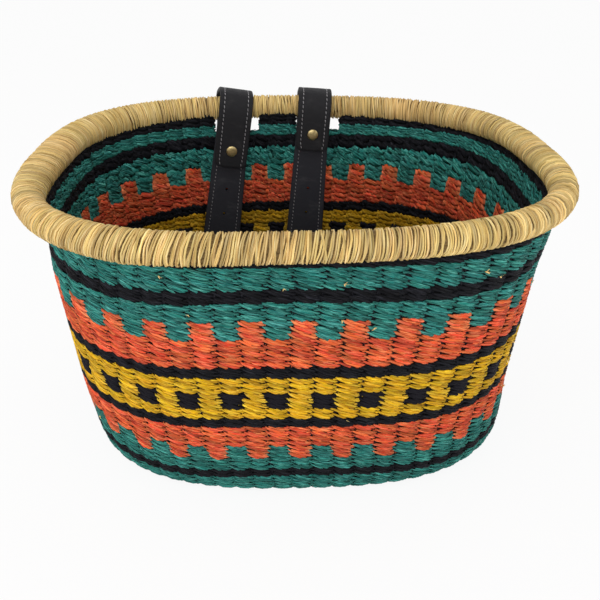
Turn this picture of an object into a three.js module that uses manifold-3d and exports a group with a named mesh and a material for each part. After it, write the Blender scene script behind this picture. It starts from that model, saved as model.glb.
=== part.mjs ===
// An oval bicycle basket, twined from dyed straw, with a straw-wrapped rim and two leather
// straps that reach out through slots under the rim, loop round a handlebar and close with
// press studs. Millimetres, +Z up. The origin is the middle of the underside, +Y is the
// strapped back and -Y the front.
import * as THREE from "three";
import { mergeVertices } from "three/addons/utils/BufferGeometryUtils.js";
import Module from "manifold-3d";

const wasm = await Module();
wasm.setup();

// Rim and wall
const RIM_HALF_WIDTH = 185.5; // rim centre line, half of it along X
const RIM_HALF_DEPTH = 140.5; // and along Y
const RIM_HEIGHT = 221.5;
const RIM_RADIUS = 9.4; // outside the straw
const OVAL_POWER = 2.78; // 2 is an ellipse, more is squarer
const WALL = 5.4; // thickness of wall and floor
const WALL_TUCK = 3; // outer face inside the rim's centre line at the top
const WALL_TAPER = 5; // the outer face draws in this far from rim to floor
const BROW = 3; // the top edge is this much higher inside, where it meets the round rim
const FOOT_IN = 10; // the rounded foot draws in this far
const FOOT_HIGH = 22; // and begins at this height
const SEAM = 0.3; // gap between pieces that touch

// Weaving chart: 32 repeats of a raised and a sunk column, counted from the front middle
const REPEATS = 32;
const COLUMNS = 2 * REPEATS;
const FOOT_COURSES = [1.4, 4.2, 7.2, 11.5]; // rises that follow the foot's curve
const YELLOW_COURSES = [12.3, 12.3, 12.3];
const BULGE = 1.4; // the middle of a woven cell stands this far out of its corners

// Each course has its rise and the band that its raised and sunk columns belong to
const COURSES = [
  ...FOOT_COURSES.map((rise) => ({ rise, raised: "green_foot", sunk: "green_foot" })),
  { rise: 7.9, raised: "black_foot", sunk: "black_foot" },
  { rise: 11.8, raised: "green_lower", sunk: "green_lower" },
  { rise: 11.9, raised: "orange_lower", sunk: "green_lower" },
  { rise: 19.4, raised: "orange_lower", sunk: "orange_lower" },
  { rise: 8.1, raised: "black_lower", sunk: "black_lower" },
  ...YELLOW_COURSES.map((rise) => ({ rise, raised: "yellow", sunk: "yellow" })),
  { rise: 9.4, raised: "black_upper", sunk: "black_upper" },
  { rise: 23.3, raised: "orange_upper", sunk: "orange_upper" },
  { rise: 15, raised: "orange_upper", sunk: "green_upper" },
  { rise: 13.5, raised: "green_upper", sunk: "green_upper" },
  { rise: 9.5, raised: "black_shoulder", sunk: "black_shoulder" },
  { rise: 6, raised: "green_top", sunk: "green_top" },
  { rise: 6, raised: "green_top", sunk: "green_top", slotted: true },
  { rise: 9, raised: "black_top", sunk: "black_top", slotted: true },
];
const BRIDGE = "black_bridge"; // the short stretch of the top band between the slots

// Rim winding
const CORE_RADIUS = 5.8;
const CORE_SIDES = 8;
const WRAP_TURNS = 72;
const WRAP_STEPS = 8; // steps in a turn
const WRAP_COVER = 0.84; // straw width over pitch
const WRAP_THICK = 2.2;
const WRAP_END = 2.2; // straight run at each end of the straw
const WRAP_START = 0.488; // share of the way round, under the right strap

// Straps, drawn side-on in a frame whose origin is on the wall's inner face at rim height:
// the first number is how far into the basket, the second how far up
const STRAP_WIDTH = 30.4; // of the flap and the loop
const TAIL_WIDTH = 37; // the tail widens to this at its end
const STRAP_THICK = 3.4;
const TIP_CORNER = 6;
const TAIL_END = -132;
const TAIL_TOP = -22; // the tail hangs straight below this
const TAIL_FACE = 3.3; // middle of the tail's thickness
const FLAP_FACE = 11.7; // middle of the flap's thickness
const FLAP_TOP = -14; // the flap hangs straight below this
const LOOP_BENDS = 26; // sections along the curved part of the loop
const FLAP_BENDS = 10; // and of the flap
const HINGE = [1.5, 13.1];
const LOOP_ROUTE = [
  [TAIL_FACE, TAIL_END],
  [TAIL_FACE, -24],
  [TAIL_FACE, -18],
  [2.3, -14.2],
  [-1.5, -12.7],
  [-9, -13.2],
  [-20, -15.2],
  [-31, -14.8],
  [-39, -10],
  [-41.8, -3],
  [-38.5, 3.2],
  [-29, 7.6],
  [-18, 11.3],
  [-8, 13.9],
  [-0.5, 13.8],
];
const FLAP_ROUTE = [
  [-0.1, 13.7],
  HINGE,
  [6.5, 10.4],
  [10, 4.5],
  [11.5, -4],
  [FLAP_FACE, FLAP_TOP],
];
const HOLES = [-78, -104]; // spare stud holes in the tail
const HOLE_RADIUS = 1.5;
const POST_RADIUS = 1.2;
const POST_HOLE = 1.5;
const STUD_SIDES = 14;

// Each strap's place on the rim, its lean in the wall's plane, stud height and flap tip
const STRAPS = {
  left: { x: -52.8, faces: -66, lean: 9.4, stud: -36.9, tip: -52.8, slot: [-78, -34] },
  right: { x: 20.8, faces: 18, lean: 3.6, stud: -21.8, tip: -37.4, slot: [0.5, 44.5] },
};

const COLOURS = {
  green: 0x1e7d69,
  black: 0x17141a,
  orange: 0xe65f37,
  yellow: 0xd7aa0a,
  straw: 0xd7b978,
  leather: 0x1c1b1d,
  brass: 0xb08d46,
};

function straw(colour) {
  return new THREE.MeshStandardMaterial({ color: COLOURS[colour], roughness: 0.7, metalness: 0 });
}

const leather = new THREE.MeshStandardMaterial({ color: COLOURS.leather, roughness: 0.5, metalness: 0 });
const brass = new THREE.MeshStandardMaterial({ color: COLOURS.brass, roughness: 0.3, metalness: 1 });

// Closed meshes

function signedVolume(geometry) {
  const place = geometry.attributes.position;
  const [a, b, c] = [0, 1, 2].map(() => new THREE.Vector3());
  let sum = 0;
  for (let i = 0; i < geometry.index.count; i += 3) {
    a.fromBufferAttribute(place, geometry.index.getX(i));
    b.fromBufferAttribute(place, geometry.index.getX(i + 1));
    c.fromBufferAttribute(place, geometry.index.getX(i + 2));
    sum += a.dot(b.cross(c)) / 6;
  }
  return sum;
}

// Merge shared vertices and turn the faces outwards
function closed(geometry) {
  geometry.deleteAttribute("normal");
  geometry.deleteAttribute("uv");
  const merged = mergeVertices(geometry, 1e-4);
  if (signedVolume(merged) < 0) merged.setIndex(Array.from(merged.index.array).reverse());
  merged.computeVertexNormals();
  return merged;
}

function fromPoints(points, faces) {
  const geometry = new THREE.BufferGeometry().setFromPoints(points);
  geometry.setIndex(faces);
  return closed(geometry);
}

// Skin a row of like sections; a ring joins the last to the first, an open row gets two caps
function loft(sections, ring = false) {
  const sides = sections[0].length;
  const rows = sections.length;
  const faces = [];
  for (let row = 0; row < (ring ? rows : rows - 1); row += 1) {
    const here = row * sides;
    const next = ((row + 1) % rows) * sides;
    for (let side = 0; side < sides; side += 1) {
      const on = (side + 1) % sides;
      faces.push(here + side, here + on, next + on, here + side, next + on, next + side);
    }
  }
  if (!ring) {
    const last = (rows - 1) * sides;
    for (let side = 1; side < sides - 1; side += 1) {
      faces.push(0, side + 1, side, last, last + side, last + side + 1);
    }
  }
  return fromPoints(sections.flat(), faces);
}

function toSolid(geometry) {
  const bare = geometry.clone();
  bare.deleteAttribute("normal");
  const merged = mergeVertices(bare, 1e-4);
  const vertProperties = new Float32Array(merged.attributes.position.array);
  const triVerts = new Uint32Array(merged.index.array);
  return new wasm.Manifold(new wasm.Mesh({ numProp: 3, vertProperties, triVerts }));
}

function cut(geometry, cutters) {
  let solid = toSolid(geometry);
  for (const cutter of cutters) solid = solid.subtract(toSolid(cutter));
  const mesh = solid.getMesh();
  const result = new THREE.BufferGeometry();
  result.setAttribute("position", new THREE.BufferAttribute(mesh.vertProperties, 3));
  result.setIndex(Array.from(mesh.triVerts));
  return closed(result);
}

// The oval: every level of the basket is this outline, drawn in by an inset

function ovalPoint(angle, inset, z) {
  const across = Math.abs(Math.cos(angle)) / (RIM_HALF_WIDTH - inset);
  const along = Math.abs(Math.sin(angle)) / (RIM_HALF_DEPTH - inset);
  const radius = (across ** OVAL_POWER + along ** OVAL_POWER) ** (-1 / OVAL_POWER);
  return new THREE.Vector3(radius * Math.cos(angle), radius * Math.sin(angle), z);
}

class RimLine extends THREE.Curve {
  getPoint(t, target = new THREE.Vector3()) {
    return target.copy(ovalPoint(FRONT + t * 2 * Math.PI, 0, RIM_HEIGHT));
  }
}

const FRONT = -Math.PI / 2;
const rimLine = new RimLine();
rimLine.arcLengthDivisions = 1440;

// Direction from the middle of the part way round the rim, 0 and 1 both being the front
function wayRound(share) {
  return FRONT + 2 * Math.PI * rimLine.getUtoTmapping((share + 1) % 1);
}

// How far the wall's two faces lie inside the rim's centre line at a height; on the rounded
// foot the inner face is the same curve with the wall's thickness taken off both its radii
function wallFaces(z) {
  const inset = WALL_TUCK + WALL_TAPER * (1 - z / RIM_HEIGHT);
  if (z >= FOOT_HIGH) return [{ inset, z }, { inset: inset + WALL, z }];
  const down = 1 - z / FOOT_HIGH;
  const out = Math.sqrt(1 - down ** 2);
  const outer = { inset: inset + FOOT_IN * (1 - out), z };
  const inner = {
    inset: inset + FOOT_IN - (FOOT_IN - WALL) * out,
    z: FOOT_HIGH - (FOOT_HIGH - WALL) * down,
  };
  return [outer, inner];
}

const LEVELS = [0];
for (const course of COURSES) LEVELS.push(LEVELS.at(-1) + course.rise);

// Column edges round the wall, half a column either side of the front middle
const plainEdges = [];
for (let column = 0; column < COLUMNS; column += 1) {
  plainEdges.push({ angle: wayRound((column - 0.5) / COLUMNS), raised: column % 2 === 0 });
}

// Direction of a place on the back wall
function backAngle(x) {
  const reach = RIM_HALF_WIDTH - WALL_TUCK;
  const depth = (1 - (Math.abs(x) / reach) ** OVAL_POWER) ** (1 / OVAL_POWER);
  return Math.atan2(depth * (RIM_HALF_DEPTH - WALL_TUCK), x);
}

const slots = Object.values(STRAPS).map(({ slot }) => slot.map(backAngle).reverse());
const slotEdges = slots.flat().map((angle) => ({ angle, raised: true }));
const turn = (angle) => (angle - FRONT + 4 * Math.PI + 0.1) % (2 * Math.PI);
const slottedEdges = [...plainEdges, ...slotEdges].sort((a, b) => turn(a.angle) - turn(b.angle));

// The band that a cell of the chart belongs to
function bandAt(edges, column, level) {
  const course = COURSES[level];
  if (!course) return null;
  const { angle, raised } = edges[column];
  if (!course.slotted) return raised ? course.raised : course.sunk;
  const nudge = angle + 1e-4;
  if (slots.some(([from, to]) => nudge > from && nudge < to)) return null;
  const [left, right] = slots;
  if (course.raised === "black_top" && nudge > right[1] && nudge < left[0]) return BRIDGE;
  return course.raised;
}

// The straw bulges out in the middle of every cell between the smooth foot and the slotted top
const topCourse = COURSES.findIndex(({ raised }) => raised === "green_top");
const bulges = (level) => level >= FOOT_COURSES.length && level < topCourse;

// One band of the wall: the cells of the chart that carry its name, drawn back half a seam
// from every cell of a neighbour
function wovenBand(name) {
  const edges = name.endsWith("top") || name === BRIDGE ? slottedEdges : plainEdges;
  const count = edges.length;
  const holds = (column, level) => Number(bandAt(edges, (column + count) % count, level) === name);
  const points = [];
  const known = new Map();

  function corner(column, level, face) {
    const at = column % count;
    const key = `${at} ${level} ${face}`;
    if (known.has(key)) return known.get(key);
    const [before, after] = [at - 1, at].map((c) => [holds(c, level - 1), holds(c, level)]);
    const sideways = Math.sign(after[0] + after[1] - before[0] - before[1]);
    const upwards = Math.sign(before[1] + after[1] - before[0] - after[0]);
    const inside = level > 0 && level < COURSES.length;
    const { inset: full, z } = wallFaces(LEVELS[level] + (inside ? upwards * (SEAM / 2) : 0))[face];
    const inset = full + (face === 0 && (bulges(level) || bulges(level - 1)) ? BULGE : 0);
    const brow = level === COURSES.length && face === 1 ? BROW : 0;
    const place = ovalPoint(edges[at].angle, inset, z);
    const angle = edges[at].angle + (sideways * SEAM) / 2 / Math.hypot(place.x, place.y);
    known.set(key, points.length);
    points.push(ovalPoint(angle, inset, z + brow));
    return known.get(key);
  }

  const faces = [];
  const quad = (a, b, c, d) => faces.push(a, b, c, a, c, d);

  // A cell's outer face as four triangles that meet in its raised middle
  function bulge(corners, level) {
    const between = points[corners[0]].clone().add(points[corners[1]]);
    const { inset, z } = wallFaces((LEVELS[level] + LEVELS[level + 1]) / 2)[0];
    const middle = points.push(ovalPoint(Math.atan2(between.y, between.x), inset, z)) - 1;
    corners.forEach((at, side) => faces.push(at, corners[(side + 1) % 4], middle));
  }

  for (let column = 0; column < count; column += 1) {
    for (let level = 0; level < COURSES.length; level += 1) {
      if (!holds(column, level)) continue;
      const [outer, inner] = [0, 1].map((face) => [
        corner(column, level, face),
        corner(column + 1, level, face),
        corner(column + 1, level + 1, face),
        corner(column, level + 1, face),
      ]);
      if (bulges(level)) bulge(outer, level);
      else quad(...outer);
      quad(...inner.toReversed());
      if (!holds(column, level + 1)) quad(outer[3], outer[2], inner[2], inner[3]);
      if (!holds(column, level - 1)) quad(inner[0], inner[1], outer[1], outer[0]);
      if (!holds(column - 1, level)) quad(inner[0], outer[0], outer[3], inner[3]);
      if (!holds(column + 1, level)) quad(outer[1], inner[1], inner[2], outer[2]);
    }
  }
  return fromPoints(points, faces);
}

// The flat floor inside the foot
function floorMat() {
  const inset = wallFaces(0)[0].inset + SEAM;
  const outline = plainEdges.map(({ angle }) => ovalPoint(angle, inset, 0));
  return closed(new THREE.ExtrudeGeometry(new THREE.Shape(outline), { depth: WALL, bevelEnabled: false }));
}

// A point of the rim by its share of the way round, with the directions out from it and along it
function rimStation(share) {
  const middle = rimLine.getPointAt((share + 1) % 1);
  const along = rimLine.getTangentAt((share + 1) % 1);
  const out = new THREE.Vector3(along.y, -along.x, 0);
  return { middle, along, out };
}

const UP = new THREE.Vector3(0, 0, 1);

// A point at an angle round the rim's centre line, from straight out towards the top
function roundRim({ middle, out }, radius, angle) {
  const reach = radius * Math.cos(angle);
  const rise = radius * Math.sin(angle);
  return middle.clone().addScaledVector(out, reach).addScaledVector(UP, rise);
}

function rimCore() {
  const sections = [];
  for (let column = 0; column < COLUMNS; column += 1) {
    const station = rimStation(column / COLUMNS);
    const section = [];
    for (let side = 0; side < CORE_SIDES; side += 1) {
      section.push(roundRim(station, CORE_RADIUS, (2 * Math.PI * side) / CORE_SIDES));
    }
    sections.push(section);
  }
  return loft(sections, true);
}

// The least distance between the sections of neighbouring turns
function leastTurnGap(sections) {
  let least = Infinity;
  for (let i = 0; i < sections.length - WRAP_STEPS; i += 1) {
    for (let j = i + WRAP_STEPS - 1; j < Math.min(i + WRAP_STEPS + 2, sections.length); j += 1) {
      for (const a of sections[i]) for (const b of sections[j]) least = Math.min(least, a.distanceTo(b));
    }
  }
  return least;
}

// One unbroken flat straw wound round the core, domed on its outer side
function rimWrap() {
  const pitch = rimLine.getLength() / WRAP_TURNS;
  const half = (WRAP_COVER * pitch) / 2;
  const radius = RIM_RADIUS - WRAP_THICK / 2;
  const steps = (WRAP_TURNS - 1) * WRAP_STEPS;
  const sections = [];
  const straight = (share, angle) => {
    const station = rimStation(share);
    const outward = roundRim(station, 1, angle).sub(station.middle);
    const middle = roundRim(station, radius, angle);
    const way = roundRim(station, 1, angle + Math.PI / 2).sub(station.middle);
    way.multiplyScalar(2 * Math.PI * radius).addScaledVector(station.along, pitch).normalize();
    const across = new THREE.Vector3().crossVectors(outward, way).normalize();
    return { middle, outward, way, across };
  };
  const section = ({ middle, outward, way, across }, ahead) =>
    [[-1, -0.5], [1, -0.5], [0.9, 0.15], [0, 0.5], [-0.9, 0.15]].map(([side, lift]) =>
      middle
        .clone()
        .addScaledVector(way, ahead)
        .addScaledVector(across, side * half)
        .addScaledVector(outward, lift * WRAP_THICK),
    );
  for (let step = 0; step <= steps; step += 1) {
    const share = (WRAP_START + step / WRAP_STEPS / WRAP_TURNS) % 1;
    const place = straight(share, (2 * Math.PI * step) / WRAP_STEPS);
    if (step === 0) sections.push(section(place, -WRAP_END));
    sections.push(section(place, 0));
    if (step === steps) sections.push(section(place, WRAP_END));
  }
  console.log(`rim wrap: least gap between its turns ${leastTurnGap(sections).toFixed(2)} mm`);
  return loft(sections);
}

// Straps

const sidePoint = ([inwards, up]) => new THREE.Vector3(0, -inwards, up);

// A flat strap along a side-on route: shape gives its half width and half thickness at a
// distance from either end
function strapAlong(route, distances, shape) {
  const curve = new THREE.CatmullRomCurve3(route.map(sidePoint), false, "centripetal");
  curve.arcLengthDivisions = 2000;
  const length = curve.getLength();
  const sections = distances(length).map((distance) => {
    const middle = curve.getPointAt(distance / length);
    const along = curve.getTangentAt(distance / length);
    const through = new THREE.Vector3(0, along.z, -along.y);
    const { halfWidth, halfThick } = shape(distance, length);
    return [[-1, -1], [1, -1], [1, 1], [-1, 1]].map(([side, layer]) =>
      middle
        .clone()
        .setX(side * halfWidth)
        .addScaledVector(through, layer * halfThick),
    );
  });
  return loft(sections);
}

// What a tip with rounded corners takes off each side, by the distance from its end
function cornerCut(distance) {
  const short = Math.max(TIP_CORNER - distance, 0);
  return TIP_CORNER - Math.sqrt(TIP_CORNER ** 2 - short ** 2);
}

const TIP_STEPS = [0, 0.1, 0.4, 1].map((share) => share * TIP_CORNER);

function evenSteps(from, to, count) {
  return Array.from({ length: count }, (_, i) => from + ((to - from) * (i + 1)) / count);
}

// A round rod through the straps' thickness, for cutting holes
function holeRod(radius, up) {
  const rod = new THREE.CylinderGeometry(radius, radius, 4 * STRAP_THICK, STUD_SIDES);
  return closed(rod.translate(0, 0, up));
}

function strapLoop({ stud }) {
  const straight = TAIL_TOP - TAIL_END;
  const distances = (length) => [...TIP_STEPS, straight, ...evenSteps(straight, length, LOOP_BENDS)];
  const shape = (distance) => {
    const width = THREE.MathUtils.lerp(TAIL_WIDTH, STRAP_WIDTH, Math.min(distance / straight, 1));
    return { halfWidth: width / 2 - cornerCut(distance), halfThick: STRAP_THICK / 2 };
  };
  const rods = [holeRod(POST_HOLE, stud), ...HOLES.map((up) => holeRod(HOLE_RADIUS, up))];
  const tailOnly = rods.map((rod) => rod.translate(0, -TAIL_FACE, 0));
  return cut(strapAlong(LOOP_ROUTE, distances, shape), tailOnly);
}

function strapFlap({ stud, tip }) {
  const round = STRAP_THICK / 2;
  const distances = (length) => {
    const root = [0.1, 0.5, 1].map((share) => share * round);
    const curved = evenSteps(round, length - (FLAP_TOP - tip), FLAP_BENDS);
    return [...root, ...curved, ...TIP_STEPS.map((step) => length - step).reverse()];
  };
  const shape = (distance, length) => ({
    halfWidth: STRAP_WIDTH / 2 - cornerCut(length - distance),
    halfThick: Math.sqrt(round ** 2 - Math.max(round - distance, 0) ** 2),
  });
  const route = [...FLAP_ROUTE, [FLAP_FACE, tip]];
  const rod = holeRod(POST_HOLE, stud).translate(0, -FLAP_FACE, 0);
  return cut(strapAlong(route, distances, shape), [rod]);
}

// Press stud pieces, turned from profiles of radius and distance into the basket

function turned(profile) {
  const points = profile.map(([radius, inwards]) => new THREE.Vector2(radius, -inwards));
  return closed(new THREE.LatheGeometry(points, STUD_SIDES));
}

const CAP_RADIUS = 5;
const CAP_RISE = 2.1;
const RIVET_END = 0.7; // how far the cap's shank stands out behind the flap
const FLANGE_RADIUS = 4.4;
const FLANGE = 0.9;
const EYELET_RADIUS = 3.7;
const SOCKET_BORE = 2.5;
const SOCKET_LIFT = 1.6; // the socket's face above the tail
const SOCKET_ROUND = 0.6;
const KNOB = { neck: 1.5, bulge: 1.8, tip: 1.1, bulgeAt: 2.6, top: 3.4 };
const tailBack = TAIL_FACE - STRAP_THICK / 2;
const tailFront = TAIL_FACE + STRAP_THICK / 2;
const flapBack = FLAP_FACE - STRAP_THICK / 2;
const flapFront = FLAP_FACE + STRAP_THICK / 2;

function studCap() {
  const base = flapFront + SEAM;
  return turned([
    [0, flapBack - RIVET_END],
    [POST_RADIUS, flapBack - RIVET_END],
    [POST_RADIUS, base],
    [CAP_RADIUS, base],
    [CAP_RADIUS, base + 0.24 * CAP_RISE],
    [0.86 * CAP_RADIUS, base + 0.62 * CAP_RISE],
    [0.5 * CAP_RADIUS, base + 0.9 * CAP_RISE],
    [0, base + CAP_RISE],
  ]);
}

function studSocket() {
  const back = flapBack - SEAM;
  const face = tailFront + SOCKET_LIFT;
  return turned([
    [SOCKET_BORE, face],
    [FLANGE_RADIUS - SOCKET_ROUND, face],
    [FLANGE_RADIUS, face + SOCKET_ROUND],
    [FLANGE_RADIUS, back],
    [SOCKET_BORE, back],
    [SOCKET_BORE, face],
  ]);
}

function studPost() {
  const base = tailFront + SEAM;
  return turned([
    [0, base],
    [FLANGE_RADIUS, base],
    [FLANGE_RADIUS, base + FLANGE],
    [KNOB.neck, base + FLANGE],
    [KNOB.bulge, base + KNOB.bulgeAt],
    [KNOB.tip, base + KNOB.top],
    [0, base + KNOB.top],
  ]);
}

function studEyelet() {
  const back = tailBack - SEAM;
  return turned([
    [0, back - FLANGE],
    [EYELET_RADIUS, back - FLANGE],
    [EYELET_RADIUS, back],
    [POST_RADIUS, back],
    [POST_RADIUS, tailFront],
    [0, tailFront],
  ]);
}

// Assembly

function piece(name, geometry, material) {
  const mesh = new THREE.Mesh(geometry, material);
  mesh.name = name;
  return mesh;
}

// The wall's inner face at the back, at rim height: its distance along Y and its slope
function innerBack(x) {
  const inset = WALL_TUCK + WALL;
  const across = RIM_HALF_WIDTH - inset;
  const depth = RIM_HALF_DEPTH - inset;
  const curve = (at) => depth * (1 - (Math.abs(at) / across) ** OVAL_POWER) ** (1 / OVAL_POWER);
  return { y: curve(x), slope: (curve(x + 1) - curve(x - 1)) / 2 };
}

function strap(side, { x, faces, lean, ...fit }) {
  const group = new THREE.Group();
  group.position.set(x, innerBack(x).y, RIM_HEIGHT);
  const yaw = Math.atan(innerBack(faces).slope);
  const tilt = -Math.atan(WALL_TAPER / RIM_HEIGHT);
  group.rotation.set(tilt, THREE.MathUtils.degToRad(lean), yaw, "ZXY");
  group.add(piece(`${side}_strap_loop`, strapLoop(fit), leather));
  group.add(piece(`${side}_strap_flap`, strapFlap(fit), leather));
  const stud = { cap: studCap, socket: studSocket, post: studPost, eyelet: studEyelet };
  for (const [part, make] of Object.entries(stud)) {
    const mesh = piece(`${side}_stud_${part}`, make(), brass);
    mesh.position.z = fit.stud;
    group.add(mesh);
  }
  return group;
}

const basket = new THREE.Group();
basket.add(piece("floor_mat", floorMat(), straw("green")));
const bandNames = new Set(COURSES.flatMap(({ raised, sunk }) => [raised, sunk]));
for (const name of [...bandNames, BRIDGE]) {
  basket.add(piece(`band_${name}`, wovenBand(name), straw(name.split("_")[0])));
}
basket.add(piece("rim_core", rimCore(), straw("straw")));
basket.add(piece("rim_wrap", rimWrap(), straw("straw")));
for (const [side, fit] of Object.entries(STRAPS)) basket.add(strap(side, fit));

export default basket;
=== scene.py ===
# %% [markdown]
# # A twined straw bicycle basket
# The real basket is straw, dyed and twined in rows round upright stakes, with a rim wound in
# undyed straw and two leather straps that close with press studs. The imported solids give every
# place and size. This lesson dresses them: each smooth band is replaced by its rows of straw,
# the rim by its winding, and the straps by stitched leather.

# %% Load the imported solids
import math

import bpy
import numpy as np
from mathutils import Matrix


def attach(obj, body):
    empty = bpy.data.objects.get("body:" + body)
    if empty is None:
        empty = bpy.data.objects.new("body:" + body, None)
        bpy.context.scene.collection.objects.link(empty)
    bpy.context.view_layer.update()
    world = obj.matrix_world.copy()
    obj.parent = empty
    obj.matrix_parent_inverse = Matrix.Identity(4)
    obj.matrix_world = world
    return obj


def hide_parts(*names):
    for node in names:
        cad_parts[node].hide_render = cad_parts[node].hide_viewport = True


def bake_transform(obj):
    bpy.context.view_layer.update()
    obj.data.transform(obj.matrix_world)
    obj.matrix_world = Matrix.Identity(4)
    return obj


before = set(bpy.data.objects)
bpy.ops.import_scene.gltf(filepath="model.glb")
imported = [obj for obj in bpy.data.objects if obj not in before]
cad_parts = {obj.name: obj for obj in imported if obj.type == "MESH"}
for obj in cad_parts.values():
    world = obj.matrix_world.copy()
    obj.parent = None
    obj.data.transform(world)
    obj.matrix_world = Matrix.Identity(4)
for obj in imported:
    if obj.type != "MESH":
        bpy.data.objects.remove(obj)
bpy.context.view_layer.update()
MM = 0.001  # every shape below is worked out in millimetres

# %% [markdown]
# ## Camera, light and floor
# The camera stands in front of the basket, above its rim, and looks down into it. A wide soft
# lamp in front is the main light, a weaker one hangs over the left end, and the world gives the
# rest. The floor is pale; a camera ray sees it nearly white, and it still shows the soft shadow.

# %% Camera
CAMERA_AT = (-12.1, -433.1, 378.8)
PITCH, YAW, ROLL = 0.5827, 0.0373, 0.0072
FOCAL_PIXELS, FRAME_PIXELS, SENSOR = 598.4, 600, 36.0


def new_object(name, data):
    """An object of the scene that shows a mesh, a lamp or a camera."""
    made = bpy.data.objects.new(name, data)
    scene.collection.objects.link(made)
    return made


def placing(right, up, back, place):
    """Matrix of three directions and a place in metres."""
    return Matrix([*np.stack([right, up, back, place], 1).tolist(), [0, 0, 0, 1]])


def camera_matrix():
    """Right, up and backward directions from yaw, then pitch, then roll, with the place last."""
    ahead = np.array([math.sin(YAW) * math.cos(PITCH), math.cos(YAW) * math.cos(PITCH), -math.sin(PITCH)])
    level = np.array([math.cos(YAW), -math.sin(YAW), 0.0])
    above = np.cross(level, ahead)
    right = level * math.cos(ROLL) + above * math.sin(ROLL)
    up = above * math.cos(ROLL) - level * math.sin(ROLL)
    return placing(right, up, -ahead, np.array(CAMERA_AT) * MM)


scene = bpy.context.scene
lens = bpy.data.cameras.new("camera")
lens.sensor_width = SENSOR
lens.lens = SENSOR * FOCAL_PIXELS / FRAME_PIXELS
lens.clip_start = 0.01
camera = new_object("camera", lens)
camera.matrix_world = camera_matrix()
scene.camera = camera
scene.view_settings.view_transform = "Standard"
print("lens", round(lens.lens, 2), "mm")


# %% Node helpers
def put(tree, kind, inputs=None, **settings):
    """Add a node, set its properties, and link or set each named or numbered input."""
    made = tree.nodes.new(kind)
    for name, value in settings.items():
        setattr(made, name, value)
    for key, value in (inputs or {}).items():
        if isinstance(value, bpy.types.NodeSocket):
            tree.links.new(value, made.inputs[key])
        else:
            made.inputs[key].default_value = value
    return made


def blend_colour(tree, kind, share, below, above):
    """Mix two colours, by the way kind names, and give back the result socket."""
    inputs = {0: share, 6: below, 7: above}
    return put(tree, "ShaderNodeMix", inputs, data_type="RGBA", blend_type=kind).outputs[2]


def ramp(tree, value, low, high, to_low=0.0, to_high=1.0):
    """Stretch a value from low..high to to_low..to_high, eased at both ends and held outside."""
    limits = {"From Min": low, "From Max": high, "To Min": to_low, "To Max": to_high, "Value": value}
    return put(tree, "ShaderNodeMapRange", limits, interpolation_type="SMOOTHSTEP").outputs["Result"]


def calculate(tree, operation, first, second):
    """One sum of two values."""
    return put(tree, "ShaderNodeMath", {0: first, 1: second}, operation=operation).outputs[0]


def blank_material(name):
    """A material with an empty node tree."""
    made = bpy.data.materials.new(name)
    made.use_nodes = True
    made.node_tree.nodes.clear()
    return made, made.node_tree


# %% World, lamps and floor
# Each lamp's name, its place in metres, its size and its power
LAMPS = [("key", (-0.12, -1.35, 0.62), 0.7, 6.5), ("top", (-0.7, -0.35, 1.45), 0.8, 3)]
LAMPS_FACE = (0, 0, 0.12)
WORLD_STRENGTH, FLOOR_WHITEN = 0.8, 0.9
FLOOR_HALF, FLOOR_LEVEL = 3.0, -0.0002


def seen_rays(tree):
    """1 for rays that the viewer sees directly, in a mirror or through glass."""
    path = put(tree, "ShaderNodeLightPath")
    seen = calculate(tree, "MAXIMUM", path.outputs["Is Camera Ray"], path.outputs["Is Glossy Ray"])
    return calculate(tree, "MAXIMUM", seen, path.outputs["Is Transmission Ray"])


def white_world(strength):
    """White where it is seen, and a soft dome of the given strength for the light."""
    world = bpy.data.worlds.new("studio")
    world.use_nodes = True
    tree = world.node_tree
    tree.nodes.clear()
    level = ramp(tree, seen_rays(tree), 0, 1, strength, 1.0)
    sky = put(tree, "ShaderNodeBackground", {"Color": (1, 1, 1, 1), "Strength": level})
    put(tree, "ShaderNodeOutputWorld", {"Surface": sky.outputs[0]})
    return world


def lamp(name, place, target, size, power):
    """A square area lamp at place that faces target."""
    light = bpy.data.lights.new(name, "AREA")
    light.size = size
    light.energy = power
    away = np.array(place) - np.array(target)
    side = np.cross((0, 0, 1), away)
    side /= np.linalg.norm(side)
    back = away / np.linalg.norm(away)
    new_object(name, light).matrix_world = placing(side, np.cross(back, side), back, place)


def pale_floor(half, whiten):
    """A square floor at height 0; camera rays see it mixed with plain white."""
    mesh = bpy.data.meshes.new("floor")
    corners = [(-half, -half, 0), (half, -half, 0), (half, half, 0), (-half, half, 0)]
    mesh.from_pydata(corners, [], [(0, 1, 2, 3)])
    paint, tree = blank_material("pale_floor")
    matt = put(tree, "ShaderNodeBsdfDiffuse", {"Color": (0.86, 0.86, 0.86, 1)})
    glow = put(tree, "ShaderNodeEmission", {"Color": (1, 1, 1, 1), "Strength": 1.0})
    share = calculate(tree, "MULTIPLY", seen_rays(tree), whiten)
    both = put(tree, "ShaderNodeMixShader", {0: share, 1: matt.outputs[0], 2: glow.outputs[0]})
    put(tree, "ShaderNodeOutputMaterial", {"Surface": both.outputs[0]})
    mesh.materials.append(paint)
    return new_object("floor", mesh)


scene.world = white_world(WORLD_STRENGTH)
for name, place, size, power in LAMPS:
    lamp(name, place, LAMPS_FACE, size, power)
floor = pale_floor(FLOOR_HALF, FLOOR_WHITEN)
floor.location.z = FLOOR_LEVEL

# %% [markdown]
# ## The shape of the wall
# Every level of the basket is one squarish oval, drawn in by an inset, and the wall's section
# is a quarter ellipse at the foot and a slightly leaning line above it. A place on the wall is
# three numbers: columns round from the front middle, millimetres climbed up the section, and
# millimetres out of the middle of the wall. All the straw below is worked out in them, because
# a formula puts each straw just where its neighbours leave room for it.

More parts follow.
